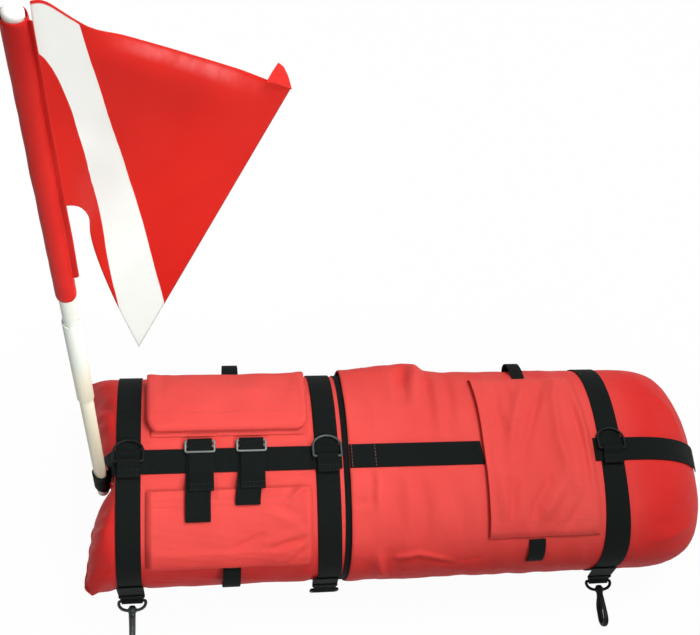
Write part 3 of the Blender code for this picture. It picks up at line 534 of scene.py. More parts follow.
def stitchMesh(name, rows):
    # all stitches of one kind: rings of points between the two ends of each, closed at both ends
    start, end, normals = (np.concatenate(part) for part in zip(*rows))
    radius, sides = stitch["radius"], stitch["sides"]
    along, swell = np.array(stitch["along"]), np.array(stitch["swell"])
    turn = (np.arange(sides) * tau / sides)[:, None]
    ring = unit(np.cross(end - start, normals))[:, None] * np.cos(turn) + normals[:, None] * np.sin(turn)
    middle = start[:, None] + (end - start)[:, None] * along[:, None]
    middle = middle + normals[:, None] * (radius * 0.5 * swell)[:, None]
    grid = middle[:, :, None] + radius * swell[:, None, None] * ring[:, None]
    count, rings = grid.shape[:2]
    i, j, k = np.meshgrid(np.arange(count), np.arange(rings - 1), np.arange(sides), indexing="ij")

    def at(dj, dk):
        return ((i * rings + j + dj) * sides + (k + dk) % sides).ravel()

    quads = np.stack([at(1, 0), at(1, 1), at(0, 1), at(0, 0)], -1)
    return mended(rawMesh(name, grid.reshape(-1, 3), quads), lambda work: bmesh.ops.holes_fill(
        work, edges=[edge for edge in work.edges if edge.is_boundary], sides=sides))


# the float's two skins, in the same terms as the frame: x along it, and turn from the far side over the top
cloth = 0.0012
gap = 0.0003
hull = {"halfWidth": 0.1312, "rise": 0.0887, "drop": 0.0917, "axis": 0.085, "square": 2.4,
        "tailShoulder": -0.3785, "noseShoulder": 0.280, "noseLength": 0.121, "droop": 0.026,
        "seamHeight": 0.070, "seamHalf": 0.0019, "seamWide": 0.137, "seamReach": 0.0265, "seamLip": 0.005,
        "ear": 0.0135, "earFold": 0.1275, "dent": 0.0225, "dentWide": 0.024}
strap = {"width": 0.030, "thick": 0.0016, "tail": -0.3635, "middle": -0.1230, "nose": 0.2450,
         "gear": (-0.2785, -0.2160), "flapRunEnd": 0.0745, "noseRunStart": 0.2225}
lap = {"flapEdge": -0.0985, "flapShown": -0.0958, "mouth": -0.045, "bandShow": 0.006, "bandWide": 0.042,
       "band": 0.0009}
lidSewn = 0.106  # the lid's sewn edge, from the middle plane
layer = strap["thick"] + gap
lapStep = lap["band"] + 2 * gap + cloth
stepStart = strap["middle"] + strap["width"] / 2
bandStart = lap["flapEdge"] - lap["bandShow"]
stepEnd = bandStart - gap
rampEnd = strap["nose"] - strap["width"] / 2
rampStart = rampEnd - 0.020
mastFoot = np.array((-0.3969, -0.0135, 0.100))
mastAxis = unit(np.array((-0.0082, 0.1200, 1.0)))


def tailShare(x):
    # 0 at the tail's shoulder, 1 at its seam
    return np.clip((hull["tailShoulder"] - x) / hull["seamReach"], 0, 1)


def tailWide(x):
    return hull["halfWidth"] + (hull["seamWide"] - hull["halfWidth"]) * tailShare(x)


def noseShare(x):
    # 0 at the nose's shoulder, 1 at its tip
    return np.clip((x - hull["noseShoulder"]) / hull["noseLength"], 0, 1)


def noseWide(x):
    return (hull["halfWidth"] + lapStep) * rounded(noseShare(x), 3)


def rounded(share, exponent=2.2):
    # what a height of 1 falls to on a superellipse as share goes to 1
    return (1 - share ** exponent) ** (1 / exponent)


def section(turn):
    # across and up on a superellipse, each from -1 to 1
    exponent = 2 / hull["square"]
    return power(np.cos(turn), exponent), power(np.sin(turn), exponent)


def halfHigh(up, more):
    return np.where(up >= 0, hull["rise"], hull["drop"]) + more


def tailSkin(x, turn):
    # a superellipse section that narrows to the pinched seam behind the shoulder, with two ears
    # and a dent for the mast, flat on the ground below
    x, turn = np.broadcast_arrays(x, turn)
    (across, up), share, lip = section(turn), tailShare(x), hull["seamLip"]
    middle = hull["axis"] + (hull["seamHeight"] - hull["axis"]) * share
    bend = hull["seamHalf"] + (lip - hull["seamHalf"]) * (1 - share)
    y = tailWide(x) * across
    z = middle + (halfHigh(up, -lip) * rounded(share) + bend) * up
    z = np.maximum(z, layer + (lapStep - layer) * smoothStep((x - stepStart) / (stepEnd - stepStart)))
    pull = hull["ear"] * np.abs(y / hull["seamWide"]) ** 1.3
    dent = hull["dent"] * bell(y - mastFoot[1], hull["dentWide"])
    return points3(x - share * (pull - dent), y, z)


def noseSkin(x, turn):
    # the same section, rounded off to the tip, which droops
    x, turn = np.broadcast_arrays(x, turn)
    (across, up), share = section(turn), noseShare(x)
    z = hull["axis"] - hull["droop"] * share ** 2 + halfHigh(up, lapStep) * rounded(share) * up
    z = np.maximum(z, layer * smoothStep((x - rampStart) / (rampEnd - rampStart)))
    return points3(x, noseWide(x) * across, z)


def skinNormal(skin, x, turn):
    # cross product of two small steps on the skin, turned outwards
    x, turn = np.broadcast_arrays(x, turn)
    small = math.radians(0.5)
    along = skin(x + gap, turn) - skin(x - gap, turn)
    around = skin(x, turn + small) - skin(x, turn - small)
    normal = unit(np.cross(around, along))
    outward = points3(0 * turn, np.cos(turn), np.sin(turn))
    return normal * np.where((normal * outward).sum(-1, keepdims=True) < 0, -1, 1)


def lifted(skin, x, turn, off):
    return skin(x, turn) + np.asarray(off)[..., None] * skinNormal(skin, x, turn)


def turnAt(across, wide=hull["halfWidth"]):
    # the turn on the top that is this far from the middle plane
    share = np.clip(np.abs(across) / wide, 0, 1)
    return np.arccos(np.sign(across) * share ** (hull["square"] / 2))


def besideStrap(x, place, fade=0.009):
    # 0 under a strap, 1 a little way from it
    return smoothStep((np.abs(x - place) - strap["width"] / 2 - 0.0005) / fade)


def besideRun(y):
    return smoothStep((np.abs(y) - strap["width"] / 2 - 0.0005) / 0.008)


def offGround(z):
    return smoothStep((z - 0.006) / 0.03)


# folds are (width, height, points of x and arc) in millimetres; around is the arc, in metres, for a turn of 1
puff = {"tail": 0.0010, "nose": 0.0007, "folds": 0.0006, "creases": 0.00014, "around": 0.13, "pleats": 0.0009,
        "pleat": 0.021, "scallops": 0.0014, "drawn": 0.0026}
tailFolds = [(6, -3, (-403, 110), (-392, 130), (-381, 147)), (7, 2.2, (-402, 130), (-388, 152), (-380, 170)),
             (7, -2.2, (-404, 270), (-390, 245), (-381, 226)), (8, 2, (-404, 310), (-389, 285), (-380, 262)),
             (8, -2.4, (-404, 372), (-390, 345), (-380, 330)), (6, -1.8, (-400, 440), (-388, 405), (-380, 380))]
noseFolds = [(7.5, -4, (-4, 52), (-11, 75), (-18, 100), (-20.5, 135)),
             (9, 2.2, (10, 55), (6, 80), (-2, 110), (-6, 150)), (8, -1.6, (16, 70), (15.1, 103.7), (12.1, 188.2)),
             (10, 1.4, (30, 70), (26, 125), (22, 185)), (7, -1.4, (44, 80), (40, 130), (32.9, 191.9)),
             (9, 1.1, (56, 90), (53, 140), (50, 190)), (4, 1.2, (-62.3, 215.5), (-63.5, 235), (-64.3, 260)),
             (4, -1, (-68, 215.5), (-70, 235), (-70, 260)), (9, 1.4, (-25.6, 221), (-23.6, 250), (-22.6, 290)),
             (8, -1.4, (-10, 221.9), (-5.8, 265.5), (-4, 300)), (10, 1.2, (12, 222), (16, 262), (18, 312)),
             (8, -1.3, (34.9, 229.2), (40, 270), (40.9, 312.8)), (10, 1, (55, 235), (60, 280), (62, 325)),
             (3.5, -2.2, (-48, 352), (-37.5, 347.2), (-12.7, 341), (8, 348), (29.9, 359)),
             (4.5, 1.8, (-48, 343), (-37.5, 338.2), (-12.7, 332), (8, 339), (29.9, 350)),
             (3, -1.4, (44.8, 354.7), (68.6, 348.3)), (3, -1, (-85.1, 234.6), (-63.3, 231.9)),
             (3, 0.9, (-88, 244), (-64, 240)), (3, -1, (-86.1, 255.5), (-60.3, 250.1)),
             (3, 0.8, (-87, 264), (-64, 260)), (5, -1.8, (-50.4, 324.7), (-42.5, 360), (-32.5, 393.8)),
             (6, 1.8, (-64, 324.7), (-58, 360), (-52, 393.8)), (5, -1.4, (-80, 345), (-70, 375), (-65, 400)),
             (7, 1.2, (320, 120), (345, 150), (360, 185)), (8, -1, (300, 300), (335, 285), (365, 262)),
             (8, 1, (295, 330), (330, 318), (362, 300))]


def tailPuff(x, turn):
    # how far the cloth swells from the plain skin: nothing under straps, runs and the lap
    p = tailSkin(x, turn)
    y, z = p[..., 1], p[..., 2]
    top = np.sin(turn) > 0
    calm = besideStrap(x, strap["tail"]) * besideStrap(x, strap["middle"]) * np.where(top, besideRun(y), 1.0)
    for place in strap["gear"]:
        crossed = top * smoothStep((y + 0.050) / 0.006) * (y < 0.035)
        calm = calm * (1 - (1 - besideStrap(x, place, 0.006)) * crossed)
    calm = calm * offGround(z) * smoothStep((stepEnd - 0.003 - x) / 0.01)
    # flat where the open lid's back wall lies down beyond its sewn edge
    sewn = turnAt(lidSewn)
    beyond = smoothStep((turn - sewn + 0.26) / 0.06) * smoothStep((sewn + 0.06 - turn) / 0.04)
    calm = calm * (1 - beyond * smoothStep((x + 0.352) / 0.008) * smoothStep((-0.136 - x) / 0.008))
    share, arc = tailShare(x), turn * puff["around"]
    swell = puff["tail"] * (1 - share) + puff["folds"] * ripple(x, arc, 0.055, 3)
    swell = swell + puff["creases"] * ripple(x * 0.6, arc, 0.017, 5) + creased(x, arc, tailFolds)
    pleats = puff["pleats"] * np.sin(tau * y / puff["pleat"] + 1.3 * np.sin(tau * y / 0.067))
    pleats = pleats * smoothStep(share * 1.6) * (1 - share ** 4)
    return np.maximum(calm * swell, -0.0002 - 0.0016 * smoothStep(share * 2)) + pleats


# the lap's corner on the far side is loose: (x, height), in millimetres
looseCorner = [(-96, 4.8), (-80, 6.2), (-60, 8.6), (-40, 11), (-22, 13.2), (-8, 14.2), (0, 13.6), (7, 11.2),
               (13, 7.4), (18, 4.6), (24, 2.4), (32, 0.8), (44, 0)]


def nosePuff(x, turn):
    # the same for the nose, with the lap's loose corner and the gathered seam round the tip
    p = noseSkin(x, turn)
    y, z = p[..., 1], p[..., 2]
    onRun = (np.sin(turn) > 0) & ((x < strap["flapRunEnd"] + 0.010) | (x > strap["noseRunStart"] - 0.010))
    calm = besideStrap(x, strap["nose"]) * np.where(onRun, besideRun(y), 1.0) * offGround(z)
    arc = turn * puff["around"]
    tip = smoothStep((0.385 - x) / 0.03)
    main = smoothStep((0.22 - x) / 0.02)
    upper = smoothStep(np.sin(turn) * 1.6 - 0.2)
    swell = puff["nose"] * tip * (1 + 1.1 * upper * main)
    swell = swell + puff["folds"] * (0.35 + 0.65 * main) * ripple(x * 1.5, arc * 0.7, 0.06, 8)
    swell = swell + puff["creases"] * ripple(x, arc * 0.6, 0.018, 9) + 2.1 * creased(x, arc, noseFolds)
    swell = swell + bell(turn - math.radians(25), math.radians(17)) * np.interp(x * 1000, *zip(*looseCorner)) / 1000
    seam = bell(z - (0.060 + 0.2 * (x - 0.36)), 0.020) * smoothStep((x - 0.315) / 0.04)
    bearing = np.arctan2(x - 0.29, -y)
    swell = swell + seam * (puff["scallops"] * np.abs(np.sin(bearing * 24)) - 0.0004)
    drawn = smoothStep((x - 0.335) / 0.045) * bell(turn - math.radians(35), math.radians(50))
    lowest = np.where(x < lap["mouth"] + 0.004, 0.0, -0.0002)
    return np.maximum(calm * swell, lowest) - puff["drawn"] * drawn


def blunted(y):
    # the near ear's point is folded in
    return 0.9 * np.maximum(-hull["earFold"] - y, 0)


def draped(skin, x, turn, off):
    # a place on the swollen and folded cloth of one skin
    if skin is noseSkin:
        return lifted(skin, x, turn, nosePuff(x, turn) + off)
    p = lifted(skin, x, turn, tailPuff(x, turn) + off)
    p[..., 0] += tailShare(x) ** 2 * blunted(p[..., 1])
    return p


def clothOn(name, skin, x, turn, off, replaced, ring=False):
    # cloth of the cover or of a pocket, as a slab inside its outer face
    outer = draped(skin, x, turn, off)
    normals = gridNormals(outer, ring=ring)
    piece(slab(name, outer - cloth * normals, normals, cloth, ring), coverRed, "float", replaced)
    return outer, normals


def webbing(name, inner, normals, replaced=None, thick=strap["thick"], ring=False):
    # webbing on its inner face; gives back the outer one
    piece(slab(name, inner, normals, thick, ring), webbingBlack, "float", replaced)
    return inner + normals * thick


def allRound(count):
    return (np.arange(count) / count * tau)[:, None]


def nearest(values, place):
    return int(np.argmin(np.abs(values - place)))


def makeCovers():
    turn = allRound(264)
    share = np.sin(np.linspace(0, 1, 26)[1:] * math.pi / 2)
    x = np.concatenate([hull["tailShoulder"] - hull["seamReach"] * share[::-1],
                        np.linspace(hull["tailShoulder"], lap["mouth"], 118)])
    clothOn("tailCoverCloth", tailSkin, x[None, :], turn, 0.0, "tail_cover", ring=True)
    share = np.sin(np.linspace(0, 1, 34)[1:] * 0.995 * math.pi / 2)
    x = np.concatenate([np.linspace(lap["flapShown"], hull["noseShoulder"], 150),
                        hull["noseShoulder"] + hull["noseLength"] * share])
    outer, normals = clothOn("noseCoverCloth", noseSkin, x[None, :], turn, 0.0, "nose_cover", ring=True)
    # two rows of stitches along the lap, on both sides of the run
    turn = turn[:, 0]
    shown = (np.abs(outer[:, 0, 1]) > 0.017) & (np.sin(turn) > 0.12)
    for place in (-0.0925, -0.0630):
        for side in (turn < math.pi / 2, (turn > math.pi / 2) & (turn < math.pi)):
            sew("red", outer, normals, (np.flatnonzero(shown & side), nearest(x, place)))


makeCovers()
print("covers made")

tailHem = {"wide": 0.0095, "thick": 0.0042, "half": 0.1362, "off": 0.0020}


def makeTailHem():
    # the two layers of the tail end, folded over and sewn: a flat roll along the seam
    y = np.linspace(-tailHem["half"], tailHem["half"], 150)
    turn = np.arccos(power(np.clip(y / hull["seamWide"], -1, 1), hull["square"] / 2))
    end = tailSkin(np.full_like(y, hull["tailShoulder"] - hull["seamReach"]), turn)
    path = points3(end[:, 0] + blunted(y) + tailHem["off"] + 0.0006 * np.sin(tau * y / 0.019), y,
                   hull["seamHeight"] + 0.0004 * np.sin(tau * y / 0.031))
    ends = np.sqrt(np.clip((tailHem["half"] + 0.001 - np.abs(y)) / 0.009, 0.1, 1))
    radius = tailHem["wide"] / 2 * (1 + 0.06 * np.sin(tau * y / 0.023)) * ends
    grid = rod(path, radius, (0, 0, 1), sides=20, tall=tailHem["thick"] / tailHem["wide"], square=0.8)
    piece(solid("tailSeamHem", grid), coverRim, "float")


makeTailHem()
bandAcross = np.array([-1, -0.985, -0.95, -0.8, -0.6, -0.4, -0.2, 0, 0.2, 0.4, 0.6, 0.8, 0.95, 0.985, 1])


def strapRound(name, skin, place, replaced, width=strap["width"] - 2 * gap, thick=strap["thick"], slack=0.0,
               lean=0.0):
    # webbing all the way round the float at one station; on the near side it may lie slack or lean
    turn = allRound(220)
    x = place + width / 2 * bandAcross
    x = x + slack * bell(turn - math.radians(150), math.radians(38)) * (bandAcross + 1) / 2
    x = x + lean * bell(turn - math.radians(180), math.radians(34))
    webbing(name, lifted(skin, x, turn, gap), skinNormal(skin, x, turn), replaced, thick, ring=True)


def makeStraps():
    strapRound("tailStrapWebbing", tailSkin, strap["tail"], "tail_strap")
    strapRound("midStrapWebbing", tailSkin, strap["middle"], "mid_strap", lean=0.0042)
    strapRound("noseStrapWebbing", noseSkin, strap["nose"], "nose_strap", slack=0.0045)
    strapRound("closureBandTape", tailSkin, bandStart + 0.0014 + lap["bandWide"] / 2, "closure_band",
               lap["bandWide"], lap["band"])


def hump(x, places):
    # how far a run climbs to cross the straps under it
    slope = 4 * strap["thick"]
    rises = [smoothStep((strap["width"] / 2 + gap + slope - np.abs(x - place)) / slope) for place in places]
    return layer * np.max([0 * x, *rises], axis=0)


def runAlong(name, skin, wide, x, places, replaced, lift=0.0, slant=0.0):
    # webbing lengthwise on the top of the float; slant skews its far end
    across = strap["width"] / 2 * bandAcross
    share = (x - x[0]) / (x[-1] - x[0])
    at = x[:, None] + slant * share[:, None] * across
    off = gap + hump(at, places) + lift * smoothStep((hull["tailShoulder"] - at) / 0.004)
    inner = lifted(skin, at, turnAt(across, wide(at)), off)
    normals = gridNormals(inner)
    return webbing(name, inner, normals, replaced), normals


def makeRuns():
    over = hull["tailShoulder"] - hull["seamReach"] * np.linspace(0.72, 0, 12)[:-1]
    x = np.concatenate([over, np.linspace(hull["tailShoulder"], bandStart - 2 * gap, 190)])
    runAlong("tailRunWebbing", tailSkin, tailWide, x, (strap["tail"], strap["middle"]), "tail_run", lift=0.0002)
    x = np.linspace(lap["flapShown"] + gap, strap["flapRunEnd"], 110)
    top, normals = runAlong("flapRunWebbing", noseSkin, noseWide, x, (), "flap_run", slant=-0.12)
    for place, kind in ((-0.0930, "pale"), (-0.0630, "pale"), (0.0715, "black")):
        sew(kind, top, normals, np.s_[nearest(x, place), 1:-1])
    share = np.sin(math.pi / 2 * 0.93 * np.linspace(0, 9 / 11, 40)[1:])
    x = np.concatenate([np.linspace(strap["noseRunStart"], hull["noseShoulder"], 50),
                        hull["noseShoulder"] + hull["noseLength"] * share])
    runAlong("noseRunWebbing", noseSkin, noseWide, x, (strap["nose"],), "nose_run")


makeStraps()
makeRuns()
print("straps and runs made")

# pockets: distances across are from the middle plane, and arc is the length of a turn of 1 there
boxPocket = {"left": -0.3370, "right": -0.1500, "near": 0.0300, "depth": 0.0134, "front": 0.0086, "edge": 0.013,
             "arc": 0.081344}
boxFlap = {"near": 0.0352, "left": -0.3415, "right": -0.1462, "off": 0.0143, "rim": 0.0058, "round": 0.0050,
           "corner": 0.013, "arc": 0.082, "back": 0.0014, "drop": 0.85,
           "bulges": ((0.0030, -0.1492, 0.014, 0.16), (0.0018, -0.3405, 0.016, 0.16),
                      (-0.0012, -0.253615, 0.060, 0.20))}
flatPocket = {"left": -0.3430, "right": -0.1430, "mouth": 0.0365, "bottom": 0.1175, "edge": 0.008, "arc": 0.075,
              "most": 0.0098}
sidePocket = {"left": 0.0765, "right": 0.2235, "far": 0.1030, "near": 0.1010, "edge": 0.009, "arc": 0.085,
              "leftLean": -0.004, "rightLean": -0.0125, "most": 0.0102, "sunk": 0.0016}
seamOff = 0.0005 + cloth


def softMin(*values, sharp=4):
    # the smallest of some distances, with its corners rounded
    return sum(np.maximum(v, 1e-6) ** -sharp for v in values) ** (-1 / sharp)


def bowed(share):
    return np.sin(math.pi / 2 * np.clip(share, 0, 1))


def softEdge(count):
    # steps from 0 to nearly 1, close together at first
    return 1 - np.cos(np.linspace(0, 1, count)[:-1] * math.pi / 2)


def dense(start, end, count, edge, extra):
    # even spacing with closer steps near both ends
    steps = edge * softEdge(extra)
    return np.concatenate([start + steps, np.linspace(start + edge, end - edge, count), end - steps[::-1]])


def makeBoxPocket():
    p = boxPocket
    x = dense(p["left"], p["right"], 84, p["edge"], 12)[:, None]
    near, edge = turnAt(p["near"]), p["edge"] / p["arc"]
    turn = np.concatenate([near - edge * softEdge(12), np.linspace(near - edge, turnAt(lidSewn), 40)])[None, :]
    y = tailSkin(x, turn)[..., 1]
    share = softMin(x - p["left"], p["right"] - x, np.abs(turn - near) * p["arc"], sharp=3) / p["edge"]
    deep = p["front"] + (p["depth"] - p["front"]) * smoothStep((y - 0.044) / 0.012)
    creases = 0.0006 * ripple(x, turn * puff["around"], 0.02, 21) * bowed(share) * (y < 0.046)
    off = seamOff + (deep - seamOff) * bowed(share) + creases
    outer, normals = clothOn("boxPocketCloth", tailSkin, x, turn, off, "box_pocket")
    sew("red", outer, normals, np.s_[3:-3, 2], np.s_[2, 3:], np.s_[-3, 3:])


lidFolds = [(8, -1.1, (-330, 105), (-300, 128), (-255, 136)), (9, 0.8, (-250, 110), (-215, 125), (-165, 120)),
            (7, -0.9, (-150, 60), (-162, 100), (-175, 140)), (6, 0.8, (-322, 60), (-315, 100), (-318, 140))]


def makeBoxFlap():
    # a lid: a panel whose three free edges turn down, with a back wall down to its hinge
    p = boxFlap
    near, back = turnAt(p["near"]), turnAt(lidSewn) - 2 * p["back"] / hull["halfWidth"]
    x = dense(p["left"], p["right"], 90, p["corner"], 16)[:, None]
    fromLeft, fromRight = x - p["left"], p["right"] - x
    inward = np.maximum(p["corner"] - np.minimum(fromLeft, fromRight), 0) / p["corner"]
    cut = p["corner"] * (1 - np.sqrt(1 - inward ** 2))
    start = near - 1.55 * cut / hull["halfWidth"]
    edge = start - p["round"] / p["arc"]
    turn = np.concatenate([start + (edge - start) * softEdge(9), edge + (back - edge) * np.linspace(0, 1, 44)], 1)
    fromEdge = np.abs(turn - start) * p["arc"]
    sideways = softMin(fromLeft + 0 * turn, fromRight, sharp=4)
    fall = np.minimum(fromEdge, sideways)
    turned = 1 - np.clip(softMin(fromEdge, sideways, sharp=5) / p["round"], 0, 1)
    drop = p["rim"] * (1 - np.sqrt(1 - turned ** 2)) * (1 - p["drop"] * bell(turn - back, 0.17))
    arc = turn * puff["around"]
    slack = 0.0007 * ripple(x, arc, 0.05, 31) * smoothStep(fall / 0.02) + 0.0005 * smoothStep(fall / 0.03)
    for height, place, wide, deep in p["bulges"]:
        slack = slack + height * bell(x - place, wide) * bell(turn - back, deep)
    top = lifted(tailSkin, x, turn, p["off"] - drop + slack + creased(x, arc, lidFolds))
    share = np.linspace(0, 1, 10)[1:]
    wall = lifted(tailSkin, x, back + 0.012 * np.sin(math.pi * share), p["off"] * (1 - share) + 2 * gap * share)
    grid = np.concatenate([top, wall], 1)
    normals = gridNormals(grid)
    piece(slab("boxPocketLid", grid, normals, cloth), coverRed, "pocket_flap", "box_pocket_flap")
    sides = slice(14, turn.shape[1])
    sew("lidRed", grid + normals * cloth, normals, np.s_[10:-10, 14], (11, sides), (-12, sides))


flatFolds = [(5, -2.2, (-199, 312), (-170, 303), (-150, 296)), (6, 1.6, (-200, 302), (-170, 293), (-150, 286)),
             (6, -2.6, (-178, 338), (-160, 320), (-148, 306)), (5, 1.6, (-186, 330), (-170, 315), (-156, 304)),
             (4, -1.8, (-178, 242), (-170, 235), (-162, 227)), (4, 2, (-172, 248), (-162, 240), (-154, 232)),
             (3, -1.8, (-164, 244), (-156, 240), (-148, 237)), (5, -1.4, (-244, 312), (-227, 303), (-208, 291)),
             (5, -1.2, (-229, 305), (-213, 296), (-202, 285)), (6, -1.2, (-190, 250), (-178, 257), (-162, 265)),
             (6, 1.1, (-194, 262), (-180, 269), (-164, 277)),
             (6, 1.2, (-338, 315), (-280, 318), (-220, 316), (-150, 326))]


def makeFlatPocket():
    p = flatPocket
    x = dense(p["left"], p["right"], 110, p["edge"], 10)[:, None]
    bottom = turnAt(-p["bottom"])
    turn = dense(bottom, turnAt(-p["mouth"]), 70, -0.10, 10)[None, :]
    fromBottom = np.abs(bottom - turn) * p["arc"]
    share = softMin(x - p["left"], p["right"] - x, fromBottom * 3.4, sharp=3) / p["edge"]
    arc = turn * puff["around"]
    body = 0.0046 + 0.0030 * bell(fromBottom - 0.010, 0.012) + 0.0012 * smoothStep((x + 0.20) / 0.05)
    folds = 0.00015 * ripple(x, arc * 0.8, 0.060, 41) + 1.3 * creased(x, arc, flatFolds)
    off = np.minimum(seamOff + (body + folds) * bowed(share), p["most"])
    outer, normals = clothOn("flatPocketCloth", tailSkin, x, turn, off, "flat_pocket")
    sew("red", outer, normals, np.s_[3, 4:-3], np.s_[-4, 4:-3], *(np.s_[4:-4, row] for row in (4, -9, -14)))


sideFolds = [(7, 2.4, (199, 101), (185, 140), (176.8, 195.5), (189.7, 240)),
             (6, -2.2, (180, 105), (164, 140), (142, 183.7), (121.2, 221)),
             (7, 2, (150, 110), (138, 140), (118, 180), (106, 225)), (7, -2, (108, 125), (102, 160), (105, 200)),
             (8, 2.2, (89, 215), (93, 250), (98.4, 285.5)), (6, -2, (112, 228), (108, 250), (103, 282.8)),
             (8, 2, (144, 285), (151, 269.2), (170.8, 242.8), (183.7, 215.5)),
             (6, -1.8, (130, 285), (138, 260), (156, 235), (160, 205)),
             (6, -1.8, (205, 125), (207, 165.5), (210, 206.4), (205, 260)),
             (5, 1.4, (215, 150), (216, 190), (214, 240)), (5, -1.2, (123, 105), (125, 130), (120, 150)),
             (6, -1.4, (175, 295), (188, 275), (200, 250))]


def makeSidePocket():
    p = sidePocket
    x = dense(p["left"], p["right"], 96, p["edge"], 10)[:, None]
    far, near = turnAt(p["far"]), turnAt(-p["near"])
    turn = dense(far, near, 130, 0.10, 10)[None, :]
    across = (x - p["left"]) / (p["right"] - p["left"])
    back = (near - turn) / (near - far)
    shift = (p["leftLean"] * (1 - across) + p["rightLean"] * across) * back ** 2
    toEnds = np.minimum(np.abs(turn - far), np.abs(near - turn)) * p["arc"]
    share = softMin(p["right"] - x, toEnds, sharp=3) / p["edge"]
    arc = turn * puff["around"]
    folds = 0.0005 * ripple(x * 1.4, arc * 0.5, 0.055, 51) + 2.0 * creased(x, arc, sideFolds)
    body = 0.0040 + 0.0024 * bell(x - p["left"], 0.014) * bowed(toEnds / 0.03)
    off = seamOff + (body + folds * (1 - 0.75 * bell(toEnds, 0.004))) * bowed(share)
    # the far end is sewn right down
    off = np.clip(off, seamOff, p["most"]) - p["sunk"] * bell((turn - far) * p["arc"], 0.004)
    outer, normals = clothOn("sidePocketCloth", noseSkin, x + shift, turn, off, "side_pocket")
    hem = nearest(turn[0], near - 0.017 / p["arc"])
    sew("red", outer, normals, *(np.s_[row, 4:-4] for row in (-4, -8, 12)),
        *(np.s_[4:-3, column] for column in (4, -5, hem)))


makeBoxPocket()
makeBoxFlap()
makeFlatPocket()
makeSidePocket()
print("pockets made")

# webbing loops: each one's CAD node, skin, place along x, turns of its ends in degrees, how far it stands
# out, its width, and how late along it the height comes
loops = {"farTailLoop": ("far_loop_tail", tailSkin, -0.2370, (26, 6), 0.0150, 0.0200, 1.6),
         "farNoseLoop": ("far_loop_nose", noseSkin, 0.1430, (44, 14), 0.0095, 0.0175, 2.2),
         "nearTailLoop": ("near_loop_tail", tailSkin, -0.2410, (152, 178), 0.0105, 0.0215, 1),
         "nearNoseLoop": ("near_loop_nose", noseSkin, 0.1400, (139, 159), 0.0045, 0.0215, 1)}


def makeLoops():
    # a short strip that bows out from the flank between its two sewn ends
    k = np.linspace(0, 1, 61)[:, None]
    for name, (replaced, skin, place, (start, end), rise, width, late) in loops.items():
        off = gap + rise * np.sqrt(np.sin(math.pi * k ** late))
        inner = lifted(skin, place + width / 2 * bandAcross, np.radians(start + (end - start) * k), off)
        webbing(name + "Webbing", inner, gridNormals(inner), replaced)


gear = {"tails": (0.0715, 0.0550), "layers": (0.0385, 0.0370), "lean": (-0.0018, -0.0062),
        "drift": (-0.0012, 0.0), "layerDrift": 0.0016, "climb": 0.016,
        "glide": 0.0165, "glideWide": 0.038, "glideHigh": 0.0165, "glideThick": 0.0022, "bar": 0.0030}


def ribbonDown(name, place, stops, replaced, lean):
    # webbing across the float through stops of (distance from the middle plane, height off), smoothed
    stops = np.array(stops)
    across = np.linspace(stops[0, 0], stops[-1, 0], 70)
    height = np.interp(-across, -stops[:, 0], stops[:, 1])
    height = np.maximum(np.convolve(np.pad(height, 2, "edge"), np.ones(5) / 5, "valid"), height - 0.0002)
    x = place + strap["width"] / 2 * bandAcross + (lean * np.clip(-across / 0.05, 0, 1))[:, None]
    inner = lifted(tailSkin, x, turnAt(across)[:, None], height[:, None])
    normals = gridNormals(inner)
    return webbing(name, inner, normals, replaced), normals


def makeGearStraps():
    # each strap goes down from its glide, over the lengthwise run and onto the pocket, and is doubled
    overRun, overPocket, climb = layer + gap, flatPocket["most"] + gap, gear["climb"]
    brink = climb * 0.7 - flatPocket["mouth"]
    start = gear["glide"] - gear["glideHigh"] / 2 - gap
    shared = [(0, overRun), (brink + climb / 2, overRun), (brink, (overRun + overPocket) / 2),
              (brink - climb / 2, overPocket)]
    for k, place in enumerate(strap["gear"]):
        label, key, lean = "AB"[k], "ab"[k], gear["lean"][k]
        stops = [(gear["glide"] + gear["bar"], overRun), (start, overRun), *shared, (-gear["tails"][k], overPocket)]
        ribbonDown("gearStrap" + label, place + gear["drift"][k], stops, "gear_strap_" + key, lean)
        stops = [(start, overRun), *shared, (-gear["layers"][k], overPocket)]
        top, normals = ribbonDown("gearLayer" + label, place + gear["layerDrift"],
                                  [(y, off + layer) for y, off in stops], "gear_layer_" + key, 0.3 * lean)
        sew("black", top, normals, np.s_[-4, 1:-1], np.s_[-12, 1:-1])
        makeTriGlide("triGlide" + label, place, overRun + layer, "tri_glide_" + key)
        makeWrap("gearWrap" + label, place, overRun, overRun + layer + gear["glideThick"] + gap)


def makeWrap(name, place, low, high):
    # the webbing's turn over the middle and far bars of its glide, down through both slots
    near = gear["glide"] - gear["glideHigh"] / 2 + gear["bar"] + 0.0005
    far = gear["glide"] + gear["glideHigh"] / 2 + gap
    path = filleted([(near, low, 0), (near + 0.0002, high, 0), (far, high, 0), (far + 0.0004, low, 0)], 0.0016, 8)
    x = place + (strap["width"] - 2 * gap) / 2 * bandAcross
    inner = lifted(tailSkin, x, turnAt(path[:, 0])[:, None], path[:, 1][:, None])
    webbing(name, inner, gridNormals(inner, (0.0, 0.0, 1.0)), thick=strap["thick"] * 0.8)


